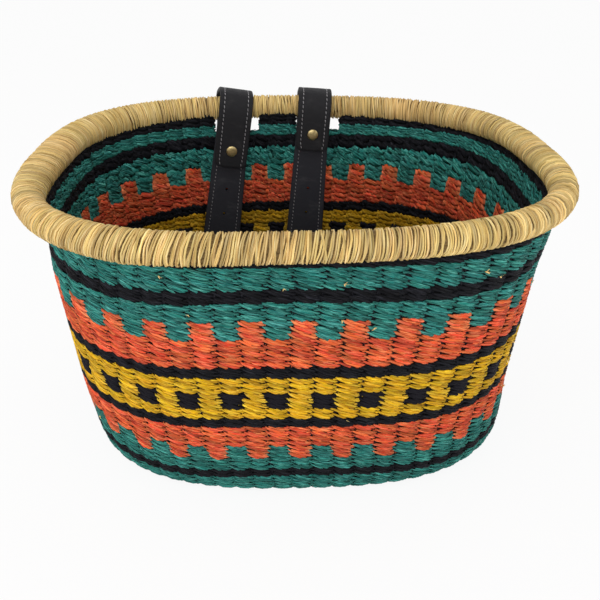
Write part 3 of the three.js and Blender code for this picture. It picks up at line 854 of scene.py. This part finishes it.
def loose_ends():
    """Tufts of cut straw ends at the edges of columns: thin cones that leave the wall and bend along it."""
    column = rng.integers(*SIDE_COLUMNS, MORE_TUFTS) + 0.5
    spread = np.stack([column, rng.uniform(*TUFT_HEIGHTS, MORE_TUFTS)], 1)
    place = np.repeat(np.concatenate([TUFTS, spread]), HAIRS, axis=0)
    count = len(place)
    u = HAIR_STEPS[None, :, None]
    turn = STEM_TURNS[None, None, :]
    along, rise, out = (rng.normal(mean, 0.8, (count, 1, 1)) for mean in (0.8, 0.6, 1.2))
    slim = HAIR_HALF * (1 - 0.5 * u)
    sideways = (along * 1.6 * u + slim * np.cos(turn)) * COLUMNS / RIM_LENGTH
    climb = climb_at(place[:, 1])[:, None, None] + rise * 1.3 * u + slim * np.sin(turn)
    lift = 1.7 + (0.8 + 0.4 * np.abs(out)) * np.sqrt(u) + slim * np.sin(turn)
    points = on_wall(place[:, 0][:, None, None] + sideways, climb, lift)
    along, across = straw_charts(count, HAIR_STEPS, STEM_SIDES, 3.0, 2.0)
    mesh = tube_mesh("loose_ends", points, along, across, straw=(1.0, 0.5, 0.0, 1.0))
    return add_piece(mesh, STRAW["natural"], "basket")


ends = loose_ends()
print("loose straw ends", (len(TUFTS) + MORE_TUFTS) * HAIRS, "with", len(ends.data.polygons), "faces")

# %% [markdown]
# ## Rim
# The stake ends are bundled into a rim and wound round with undyed straw, several hundred turns
# of it. A ring with a striped bump map would look machined, and the real winding looks combed:
# each turn is a pair of thin stems that cross and part again. So the pair is two helices round
# the rim's centre line, with slow random drift in place, height and width.

# %% Shape of the rim
RIM_RADIUS = 9.4


def rim_frame(share):
    """Middle of the rim and the direction out from it, by the share of the way round."""
    angle = column_angle(share * COLUMNS)
    x, y = oval(angle, 0.0)
    ahead_x, ahead_y = oval(angle + 1e-4, 0.0)
    back_x, back_y = oval(angle - 1e-4, 0.0)
    run = np.hypot(ahead_x - back_x, ahead_y - back_y)
    out = np.stack([(ahead_y - back_y) / run, -(ahead_x - back_x) / run, np.zeros_like(run)], -1)
    return np.stack([x, y, np.full_like(x, RIM_HEIGHT)], -1), out


# Columns from the front middle, how much taller than wide the rim's section is there, its sag, how
# far the winding leans to the right from bottom to top, how full its stems are, and how much the
# rim swells towards the inside
TALLER, SAG, LEAN, FULL, SWELL = 1, 2, 3, 4, 5
RIM_SHAPE = np.array([
    (-32, 0.1, 0.0, 1.0, 1.22, 0.0),
    (-28, 0.2, 0.0, 1.0, 1.22, 0.0),
    (-22, 0.34, 0.0, 1.8, 1.22, 0.5),
    (-17, 0.2, 0.0, 2.5, 1.2, 0.85),
    (-14, 0.16, 0.5, 3.2, 1.16, 0.7),
    (-11, 0.12, 1.0, 4.0, 1.12, 0.15),
    (-6, 0.24, 1.6, 3.2, 1.0, 0.0),
    (-1, 0.08, 0.3, 1.0, 0.97, 0.0),
    (6, 0.06, -1.2, -0.8, 0.9, 0.0),
    (11, 0.04, -1.2, -1.5, 0.92, 0.05),
    (17, 0.08, 0.0, -1.0, 1.1, 0.45),
    (23, 0.2, 0.8, 0.0, 1.22, 0.14),
    (28, 0.22, 0.4, 1.0, 1.22, 0.0),
    (32, 0.1, 0.0, 1.0, 1.22, 0.0),
])


def rim_shape(share, item):
    """One item of the rim's shape by the share of the way round."""
    return np.interp(from_front(share * COLUMNS), RIM_SHAPE[:, 0], RIM_SHAPE[:, item])


def around_rim(share, radius, turn):
    """Point round the rim's middle, by radius and angle: an oval that hangs from its top and swells in."""
    middle, out = rim_frame(share)
    taller = rim_shape(share, TALLER)
    rise = radius * (1 + taller) * np.sin(turn) - RIM_RADIUS * taller - rim_shape(share, SAG)
    outwards = radius * np.cos(turn)
    outwards = np.where(outwards < 0, outwards * (1 + rim_shape(share, SWELL)), outwards)
    return middle + outwards[..., None] * out + rise[..., None] * np.array([0.0, 0.0, 1.0])


print("rim sags by up to", RIM_SHAPE[:, SAG].max(), "mm")

# %% Rim winding
RIM_TURNS = 356
RIM_STEPS, RIM_SIDES = 14, 6
TURN_LENGTH = 56.0  # millimetres of straw in a turn
STEM_HALF_WIDE, STEM_HALF_THICK = 0.7, 0.85
TWISTS = 0.43  # times that the two stems twist round each other in a turn
APART, CROSSING = 0.74, 3.2  # how far they part, and how quickly they cross
SUNK, CLIMB_OVER = 0.35, 0.28  # how deep they lie, and how far one climbs over the other


def drift(at, spacing, amount):
    """Smooth random wandering: normal values at even knots, joined with eased steps."""
    knots = rng.normal(0, amount, int(np.max(at) / spacing) + 3)
    place = at / spacing
    step = np.floor(place).astype(int)
    share = ease(place - step, 0, 1)
    return knots[step] * (1 - share) + knots[step + 1] * share


rim_turns = np.arange(RIM_TURNS * RIM_STEPS) / RIM_STEPS
pair_twist = 2 * math.pi * TWISTS * rim_turns + drift(rim_turns, 1.2, 1.0)
pair_lean = rim_shape(rim_turns / RIM_TURNS, LEAN)
pair_lean = pair_lean + drift(rim_turns, 22.0, 0.4) + drift(rim_turns, 0.8, 0.34)
pair_wide = rim_shape(rim_turns / RIM_TURNS, FULL)
rough = np.clip(3.2 - 2.2 * pair_wide, 0.4, 1.3)
pair_stray = drift(rim_turns, 0.17, 0.28) * rough


def rim_stem(phase):
    """One stem of the pair: a helix whose offset from its partner swings with a drifting twist."""
    twist = pair_twist + 2 * math.pi * phase
    turn = 2 * math.pi * rim_turns
    apart = APART * pair_wide * np.tanh(CROSSING * np.cos(twist))
    along = apart + pair_stray + drift(rim_turns, 0.22, 0.2) + pair_lean * np.sin(turn)
    share = rim_turns / RIM_TURNS + along / RIM_LENGTH
    radius = RIM_RADIUS - STEM_HALF_THICK - SUNK + CLIMB_OVER * np.sin(twist)
    radius = radius + drift(rim_turns, 0.6, 0.07)
    wide = STEM_HALF_WIDE * pair_wide * (1 + drift(rim_turns, 1.3, 0.1))
    side = round_angles(RIM_SIDES)[None, :]
    ring_radius = radius[:, None] + STEM_HALF_THICK * np.sin(side)
    ring_share = share[:, None] + wide[:, None] * np.cos(side) / RIM_LENGTH
    points = around_rim(ring_share, ring_radius, np.broadcast_to(turn[:, None], ring_share.shape))
    level = np.clip(0.52 + drift(rim_turns, 4.0, 0.05) + drift(rim_turns, 0.6, 0.16) * rough, 0, 1)
    hue = np.clip(0.5 + drift(rim_turns, 9.0, 0.3) + drift(rim_turns, 0.8, 0.2), 0, 1)
    pale = np.clip(drift(rim_turns, 0.8, 0.35), 0, 1)
    return points, np.stack([level, hue, np.zeros_like(level), pale], -1)


def wind_rim():
    """Both stems as one piece of closed helices."""
    stems = [rim_stem(0.0), rim_stem(0.5)]
    points = np.stack([stem[0] for stem in stems])
    marks = np.stack([stem[1] for stem in stems])[:, :, None, :]
    along = np.broadcast_to(np.append(rim_turns, RIM_TURNS) * TURN_LENGTH, (2, len(rim_turns) + 1))
    across = np.linspace(0, 5, RIM_SIDES + 1)[None, :] + np.array([[0.0], [40.0]])
    mesh = tube_mesh("rim_straw", points, along, across, closed=True, straw=marks)
    return add_piece(mesh, STRAW["natural"], "basket", ["rim_wrap"])


winding = wind_rim()
print("rim winding faces", len(winding.data.polygons))


# %% Rim bundle
BUNDLE_STEPS, BUNDLE_SIDES = 512, 36
BUNDLE_RADIUS, LOBE_DEPTH, LOBES, LOBE_TURNS = 7.6, 0.3, 9, 7


def rim_bundle():
    """The bundle inside: a ring whose section is a circle with shallow lobes that slowly turn, coloured dark
    brown as painted shade where it shows between the turns.
    """
    share = np.arange(BUNDLE_STEPS)[:, None] / BUNDLE_STEPS
    side = round_angles(BUNDLE_SIDES)[None, :]
    share, side = np.broadcast_arrays(share, side)
    lobes = BUNDLE_RADIUS + LOBE_DEPTH * np.cos(LOBES * side + 2 * math.pi * LOBE_TURNS * share)
    points = around_rim(share, lobes, side)[None]
    along = np.linspace(0, RIM_LENGTH, BUNDLE_STEPS + 1)[None, :]
    across = np.linspace(0, 46, BUNDLE_SIDES + 1)[None, :]
    mesh = tube_mesh("rim_bundle", points, along, across, closed=True, straw=(0.2, 0.5, 0.0, 0.0))
    return add_piece(mesh, STRAW["core"], "basket", ["rim_core"])


bundle = rim_bundle()
print("rim bundle faces", len(bundle.data.polygons))

# %% [markdown]
# ## Leather, thread and brass
# The straps are black leather, pebbled and scuffed, with painted light that makes the tail greyer where it
# hangs in shade inside.
# They are sewn with grey waxed thread and closed with brass that has gone brown in patches. Scanned
# pictures would do, but noise on the strap's own UV map needs no file and has no seams.

# %% Leather, thread and brass
LIT_TAIL_FROM, LIT_TAIL_TO = 112.0, 132.0  # millimetres from the tail's end over which its painted light fades


def leather_material():
    """Black leather: pebbled grain and pores from the strap's own chart, grey scuffs, and a tail made greyer
    by painted light.
    """
    made, tree = blank_material("strap_leather")
    chart = strand_chart(tree)
    pebbles = put(tree, "ShaderNodeTexVoronoi", {"Vector": chart, "Scale": 1.1}, feature="F1")
    waves = noise(tree, chart, 0.35, 5.0)
    scuff = ramp(tree, noise(tree, chart, 0.09, 6.0, 0.65), 0.52, 0.75, 0.0, 0.75)
    black = blend_colour(tree, "MIX", scuff, (0.0185, 0.018, 0.02, 1), (0.038, 0.036, 0.037, 1))
    along = put(tree, "ShaderNodeSeparateXYZ", {0: chart}).outputs["X"]
    lit_tail = ramp(tree, along, LIT_TAIL_FROM, LIT_TAIL_TO, 1.0, 0.0)
    # The tail is painted lighter: painted light where it hangs in shade inside the basket.
    colour = blend_colour(tree, "MULTIPLY", lit_tail, black, (1.8, 1.85, 2.0, 1))
    roughness = ramp(tree, waves, 0.3, 0.7, 0.5, 0.66)
    height = calculate(tree, "ADD", pebbles.outputs["Distance"], waves)
    finish_material(tree, colour, roughness, height, 0.16, **{"Specular IOR Level": 0.1})
    return made


def thread_material():
    """Grey-white waxed thread with a fine twist along the stitch, its grooves darker as painted shade."""
    made, tree = blank_material("stitch_thread")
    turned = {"Vector": strand_chart(tree), "Rotation": (0, 0, 0.7)}
    slanted = put(tree, "ShaderNodeMapping", turned).outputs[0]
    twist = put(tree, "ShaderNodeTexWave", {"Vector": slanted, "Scale": 1.2, "Distortion": 0.6})
    colour = blend_colour(tree, "MIX", twist.outputs["Fac"], (0.2, 0.19, 0.2, 1), (0.42, 0.4, 0.41, 1))
    roughness = ramp(tree, twist.outputs["Fac"], 0, 1, 0.75, 0.6)
    finish_material(tree, colour, roughness, twist.outputs["Fac"], 0.06)
    return made


def brass_material():
    """Aged brass: brown tarnish in cloudy patches, brighter and smoother where it is rubbed."""
    made, tree = blank_material("stud_brass")
    place = put(tree, "ShaderNodeTexCoord").outputs["Object"]
    cloud = noise(tree, place, 420.0, 5.0, 0.6)
    aged = ramp(tree, cloud, 0.4, 0.68)
    colour = blend_colour(tree, "MIX", aged, (0.66, 0.52, 0.25, 1), (0.32, 0.235, 0.105, 1))
    roughness = ramp(tree, cloud, 0.35, 0.7, 0.36, 0.55)
    finish_material(tree, colour, roughness, noise(tree, place, 2600.0, 3.0), 0.03, Metallic=1.0)
    return made


LEATHER, THREAD, BRASS = leather_material(), thread_material(), brass_material()
print("strap finishes", LEATHER.name, THREAD.name, BRASS.name)

# %% [markdown]
# ## Leather straps
# Each strap is one strip of black leather, stitched along both edges. Its tail hangs down the inner wall,
# goes out through the slot, loops behind the rim, comes back over it and ends in a flap that snaps on to the
# tail. Stiff leather keeps its folds, so nothing is simulated: the strip follows a side-on route of points.
# The part from the crest on is made as a piece of its own, and the rest stays with the basket.

# %% Strap routes
TAIL_FACE, FLAP_FACE = 3.3, 11.7
# Into the basket and up, from the wall's inner face at rim height
ROUTE = [
    (TAIL_FACE, -132), (TAIL_FACE, -24), (TAIL_FACE, -18), (2.3, -14.2), (-1.5, -12.7), (-9, -13.2),
    (-20, -15.2), (-31, -14.8), (-39, -10), (-41.8, -3), (-38.5, 3.2), (-29, 7.6), (-18, 11.3),
    (-8, 13.9), (1.5, 13.1), (6.5, 10.4), (10, 4.5), (11.5, -4), (FLAP_FACE, -14),
]
# Along X, where along X the wall is faced, lean in degrees, and heights of stud and tip from the rim
STRAPS = {
    "left": {"x": -52.8, "faces": -66.0, "lean": 9.4, "stud": -36.9, "tip": -52.8},
    "right": {"x": 20.8, "faces": 18.0, "lean": 3.6, "stud": -21.8, "tip": -37.4},
}


def smooth_route(points, per_span=40):
    """Centripetal Catmull-Rom curve: each span is a cubic whose end slopes come from its neighbours."""
    p = np.array(points, float)
    p = np.concatenate([[2 * p[0] - p[1]], p, [2 * p[-1] - p[-2]]])
    gap = np.sqrt(np.linalg.norm(np.diff(p, axis=0), axis=1))[:, None]
    first, second = p[1:-2], p[2:-1]
    before, here, after = gap[:-2], gap[1:-1], gap[2:]
    leave = ((first - p[:-3]) / before - (second - p[:-3]) / (before + here) + (second - first) / here) * here
    reach = ((second - first) / here - (p[3:] - first) / (here + after) + (p[3:] - second) / after) * here
    u = np.linspace(0, 1, per_span, endpoint=False)[None, :, None]
    bend = 3 * (second - first) - 2 * leave - reach
    turn = leave + reach - 2 * (second - first)
    spans = first[:, None] + leave[:, None] * u + bend[:, None] * u**2 + turn[:, None] * u**3
    return np.concatenate([spans.reshape(-1, 2), p[-2:-1]])


def inner_back(x):
    """Distance along Y of the back wall's inner face at rim height."""
    return back_depth(x, WALL_TUCK + WALL)


def strap_place(x, faces, lean, **_):
    """Turn and place of a strap's own frame: yaw to face the wall, tilt with it, lean along it."""
    yaw = math.atan((inner_back(faces + 1) - inner_back(faces - 1)) / 2)
    tilt = -math.atan(WALL_TAPER / RIM_HEIGHT)
    turn = Matrix.Rotation(yaw, 3, "Z") @ Matrix.Rotation(tilt, 3, "X")
    turn = turn @ Matrix.Rotation(math.radians(lean), 3, "Y")
    return np.array(turn), np.array([x, inner_back(x), RIM_HEIGHT])


# %% Strap lines
STRAP_WIDTH, TAIL_WIDTH = 30.4, 37.0
TIP_CORNER, TAIL_LENGTH = 6.0, 110.0
CREST_FROM = -8.0  # where the crest with its flap starts, from the wall's inner face


class StrapLine:
    """A strap's route by distance from the tail's end, with its place in the basket."""

    def __init__(self, fit):
        self.turn, self.place = strap_place(**fit)
        self.route = smooth_route([*ROUTE, (FLAP_FACE, fit["tip"])])
        self.run = line_length(*self.route.T)
        self.length = float(self.run[-1])
        crest = (self.run > TAIL_LENGTH) & (self.route[:, 1] > 5)
        self.split = float(np.interp(CREST_FROM, self.route[crest, 0], self.run[crest]))

    def at(self, distance):
        """Side-on place and direction at a distance."""
        behind, here, ahead = (
            np.stack([np.interp(distance + step, self.run, axis) for axis in self.route.T], -1)
            for step in (-0.4, 0.0, 0.4)
        )
        way = ahead - behind
        return here, way / np.linalg.norm(way, axis=-1, keepdims=True)

    def half_width(self, distance):
        """Half of the width there: the tail's taper, less what both ends' rounded corners take off."""
        width = TAIL_WIDTH + (STRAP_WIDTH - TAIL_WIDTH) * np.clip(distance / TAIL_LENGTH, 0, 1)
        from_end = np.minimum(distance, self.length - distance)
        short = np.clip(TIP_CORNER - from_end, 0, TIP_CORNER)
        return width / 2 - TIP_CORNER + np.sqrt(TIP_CORNER**2 - short**2)

    def world(self, inwards, up, sideways):
        """Basket millimetres of a point of the strap's own frame."""
        local = np.stack(np.broadcast_arrays(sideways, -inwards, up), -1)
        return local @ self.turn.T + self.place

    def surface(self, distance, sideways, lift):
        """Point off the strip's middle: sideways along its width, lift out of its face towards the wall."""
        here, way = self.at(distance)
        return self.world(here[..., 0] - lift * way[..., 1], here[..., 1] + lift * way[..., 0], sideways)


lines = {side: StrapLine(fit) for side, fit in STRAPS.items()}
print("strap lengths", {side: round(line.length) for side, line in lines.items()}, "mm")

# %% Strips of leather
STRAP_THICK = 3.4
TIP_STEPS = np.array([0, 0.2, 0.7, 1.5, 2.6, 4.2, 6.0])  # distances of the rings at a rounded end
CUT_STEPS = np.array([0.0, 3.0])  # and at the cut between tail and crest
FACE_STEPS = np.array([-0.6, -0.2, 0.2, 0.6])  # shares of the plain face between the grooves
RING_GAP = 1.5
# Distance from the edge and share of the thickness: a rounded cut edge, then the stitched groove
EDGE_SHAPE = np.array([
    (0, 0.5), (0.2, 0.8), (0.7, 0.97), (2.2, 1.0), (3.7, 0.94), (4.5, 0.82), (5.3, 0.94), (6.9, 1.02),
])


def thickness(line, distance, from_edge):
    """Half thickness: the edge shape across, and the same rounding at the strip's two ends."""
    across = np.interp(from_edge, EDGE_SHAPE[:, 0], EDGE_SHAPE[:, 1])
    from_end = np.minimum(distance, line.length - distance)
    ends = np.interp(from_end, EDGE_SHAPE[:4, 0], EDGE_SHAPE[:4, 1])
    return STRAP_THICK / 2 * across * ends


def strip_mesh(name, line, low, high):
    """Closed strip from one distance to another, its faces following the edge shape."""
    inner = np.arange(low + 7, high - 6.5, RING_GAP)
    starts = low + (TIP_STEPS if low == 0 else CUT_STEPS)
    stops = high - (TIP_STEPS if high == line.length else CUT_STEPS)[::-1]
    distance = np.concatenate([starts, inner, stops])[:, None]
    half = line.half_width(distance)
    edge = EDGE_SHAPE[:, 0][None, :]
    near = np.minimum(edge, half * edge / 7.4)
    sideways = np.concatenate([-half + near, (half - near[:, -1:]) * FACE_STEPS, (half - near)[:, ::-1]], 1)
    lift = thickness(line, distance, half - np.abs(sideways))
    around = np.concatenate([sideways, sideways[:, ::-1]], 1)
    lifts = np.concatenate([lift, -lift[:, ::-1]], 1)
    points = line.surface(np.broadcast_to(distance, around.shape), around, lifts)[None]
    along = np.broadcast_to(distance.T, (1, len(distance)))
    face = np.linspace(0, 30, sideways.shape[1])
    across = np.concatenate([face, face + 40, [80.0]])[None, :]
    return tube_mesh(name, points, along, across)


print("leather", STRAP_THICK, "mm thick, in rings", RING_GAP, "mm apart")

# %% Stitches
STITCH_IN, STITCH_STEP, STITCH_RADIUS = 4.5, 3.7, 0.4
STITCH_RINGS, STITCH_SIDES = np.linspace(-1, 1, 5), 5
PROUD, SINK, ASKEW = 0.16, 0.42, 0.25  # above the groove, down at the ends, and across it


def stitch_mesh(name, line, low, high, half_long):
    """Short threads along both edges of both faces, sunk at their ends and proud in the middle."""
    middle = np.arange(low + 2.2, high - 1.5, STITCH_STEP)
    middle = middle + rng.normal(0, 0.12, len(middle))
    t = STITCH_RINGS[None, :, None]
    turn = round_angles(STITCH_SIDES)
    rows = []
    for edge in (-1, 1):
        for face in (-1, 1):
            distance = middle[:, None, None] + half_long * t + 0 * turn
            half = line.half_width(middle)[:, None, None] - STITCH_IN
            slim = STITCH_RADIUS * np.sqrt(1.02 - t**2)
            sideways = edge * half + ASKEW * t * face + slim * np.cos(turn)
            base = thickness(line, distance, np.full_like(distance, STITCH_IN))
            lift = face * (base + PROUD - SINK * t**2 + slim * np.sin(turn))
            if face < 0:
                sideways = sideways[:, :, ::-1]
                lift = lift[:, :, ::-1]
            rows.append(line.surface(distance, sideways, lift))
    points = np.concatenate(rows)
    along, across = straw_charts(len(points), STITCH_RINGS, STITCH_SIDES, 1.2, 2.5)
    return tube_mesh(name, points, along, across)


print("stitches", STITCH_STEP, "mm apart and", STITCH_IN, "mm from the edge")

# %% Make the straps
TAIL_STITCH, FLAP_STITCH = 1.2, 1.65  # half lengths
BEND_FROM, BEND_TO, BEND_UP = -7.0, 6.0, 13.0  # where the leather bends, and its height there
HOLES_UP, HOLE_RADIUS, HOLE_SIDES = np.array([-78, -104]), 1.5, 24
HOLE_THROUGH = np.array([-2.0, 9.0])  # from behind the tail to in front of it


def punch(piece, line):
    """Cut the spare stud holes through the tail and keep the result as the piece's mesh."""
    turn = round_angles(HOLE_SIDES)
    up = HOLES_UP[:, None, None] + HOLE_RADIUS * np.sin(turn)
    rods = line.world(HOLE_THROUGH[None, :, None], up, HOLE_RADIUS * np.cos(turn))
    no_chart = np.zeros((len(rods), 2)), np.zeros((len(rods), HOLE_SIDES + 1))
    rod = new_object("hole_rods", tube_mesh("hole_rods", rods, *no_chart))
    cut = piece.modifiers.new("holes", "BOOLEAN")
    cut.object = rod
    cut.solver = "EXACT"
    bpy.context.view_layer.update()
    shape = bpy.data.meshes.new_from_object(piece.evaluated_get(bpy.context.evaluated_depsgraph_get()))
    piece.modifiers.clear()
    shape.set_sharp_from_angle(angle=math.radians(35))
    piece.data = shape
    bpy.data.objects.remove(rod)


def make_strap(side):
    """Tail and loop on the basket, and the crest with its flap as a piece of its own, all stitched."""
    line = lines[side]
    start, end = (tuple(line.world(at, BEND_UP, 0.0) * MM) for at in (BEND_FROM, BEND_TO))
    tail_mesh = strip_mesh(f"{side}_strap_tail", line, 0, line.split)
    tail = add_piece(tail_mesh, LEATHER, None, [f"{side}_strap_loop"])
    punch(tail, line)
    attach(tail, "basket")
    add_piece(stitch_mesh(f"{side}_tail_stitches", line, 0, line.split, TAIL_STITCH), THREAD, "basket")
    flap_mesh = strip_mesh(f"{side}_strap_crest", line, line.split, line.length)
    crest = add_piece(flap_mesh, LEATHER, None, [f"{side}_strap_flap"])
    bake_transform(crest)
    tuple(start)
    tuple(end)
    flap_threads = stitch_mesh(f"{side}_flap_stitches", line, line.split, line.length, FLAP_STITCH)
    threads = add_piece(flap_threads, THREAD, None)
    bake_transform(threads)
    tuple(start)
    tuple(end)


for side in STRAPS:
    make_strap(side)
print("straps made")

# %% [markdown]
# ## Press studs
# A press stud is four turned pieces: the domed cap and the socket sit on the flap, the knob and
# its eyelet on the tail. Each is a profile of radius and depth turned round the stud's axis, as
# Blender's Spin would do it, but placed straight in the strap's own frame.

# %% Studs
CAP, FLANGE, EYELET, SHANK, BORE, AXIS = 5.0, 4.4, 3.7, 1.2, 2.5, 0.02  # radii
TAIL_BACK, TAIL_FRONT = TAIL_FACE - STRAP_THICK / 2, TAIL_FACE + STRAP_THICK / 2
FLAP_BACK, FLAP_FRONT = FLAP_FACE - STRAP_THICK / 2, FLAP_FACE + STRAP_THICK / 2


def cap_profile():
    """Shank, flat underside, rolled edge and a low dome."""
    base, root = FLAP_FRONT + 0.1, FLAP_BACK - 0.7
    climb = np.linspace(0, 1, 12) * math.pi / 2
    dome = np.stack([4.55 * np.cos(climb), base + 0.95 + 0.55 * np.sin(climb)], 1)
    dome[-1, 0] = AXIS
    edge = [(4.75, base), (4.95, base + 0.12), (CAP, base + 0.4), (4.93, base + 0.7), (4.72, base + 0.88)]
    return np.array([(AXIS, root), (SHANK, root), (SHANK, base), *edge, *dome])


def socket_profile():
    """A closed ring section: bore, face, rounded shoulder, wall and back."""
    face, back = TAIL_FRONT + 1.6, FLAP_BACK - 0.1
    shoulder = [(3.8, face), (4.25, face + 0.25), (FLANGE, face + 0.7)]
    return np.array([(BORE, face + 0.2), (2.7, face), *shoulder, (FLANGE, back), (BORE, back)])


def post_profile():
    """Flange, neck and rounded knob."""
    flange = [(AXIS, 0.0), (4.25, 0.0), (FLANGE, 0.2), (FLANGE, 0.8), (4.2, 1.0), (1.7, 1.05)]
    knob = [(1.5, 1.3), (1.55, 1.9), (1.8, 2.6), (1.7, 3.1), (1.2, 3.45), (AXIS, 3.55)]
    return np.array([*flange, *knob]) + (0.0, TAIL_FRONT + 0.1)


def eyelet_profile():
    """Back disc with a rounded edge and a short shank."""
    back, end = TAIL_BACK - 0.1, TAIL_FRONT - 0.1
    edge = [(3.3, back - 0.9), (3.6, back - 0.75), (EYELET, back - 0.45), (3.6, back - 0.1), (3.4, back)]
    return np.array([(AXIS, back - 0.9), *edge, (SHANK, back), (SHANK, end), (AXIS, end)])


def turned_mesh(name, line, height, profile, closed=False, sides=40):
    """A profile of radius and depth turned round the stud's axis."""
    turn = round_angles(sides)[None, :]
    radius, depth = profile[:, :1], profile[:, 1:]
    points = line.world(depth + 0 * turn, height + radius * np.sin(turn), radius * np.cos(turn))[None]
    along = np.arange(len(profile) + float(closed))[None, :]
    return tube_mesh(name, points, along, np.arange(sides + 1.0)[None, :], closed)


STUD_PARTS = {
    "cap": (cap_profile, "flap", False),
    "socket": (socket_profile, "flap", True),
    "post": (post_profile, "basket", False),
    "eyelet": (eyelet_profile, "basket", False),
}
for side, fit in STRAPS.items():
    for part, (profile, carrier, closed) in STUD_PARTS.items():
        name = f"{side}_stud_{part}"
        mesh = turned_mesh(f"{name}_turned", lines[side], fit["stud"], profile(), closed)
        add_piece(mesh, BRASS, f"{side}_flap" if carrier == "flap" else carrier, [name])
print("studs made")
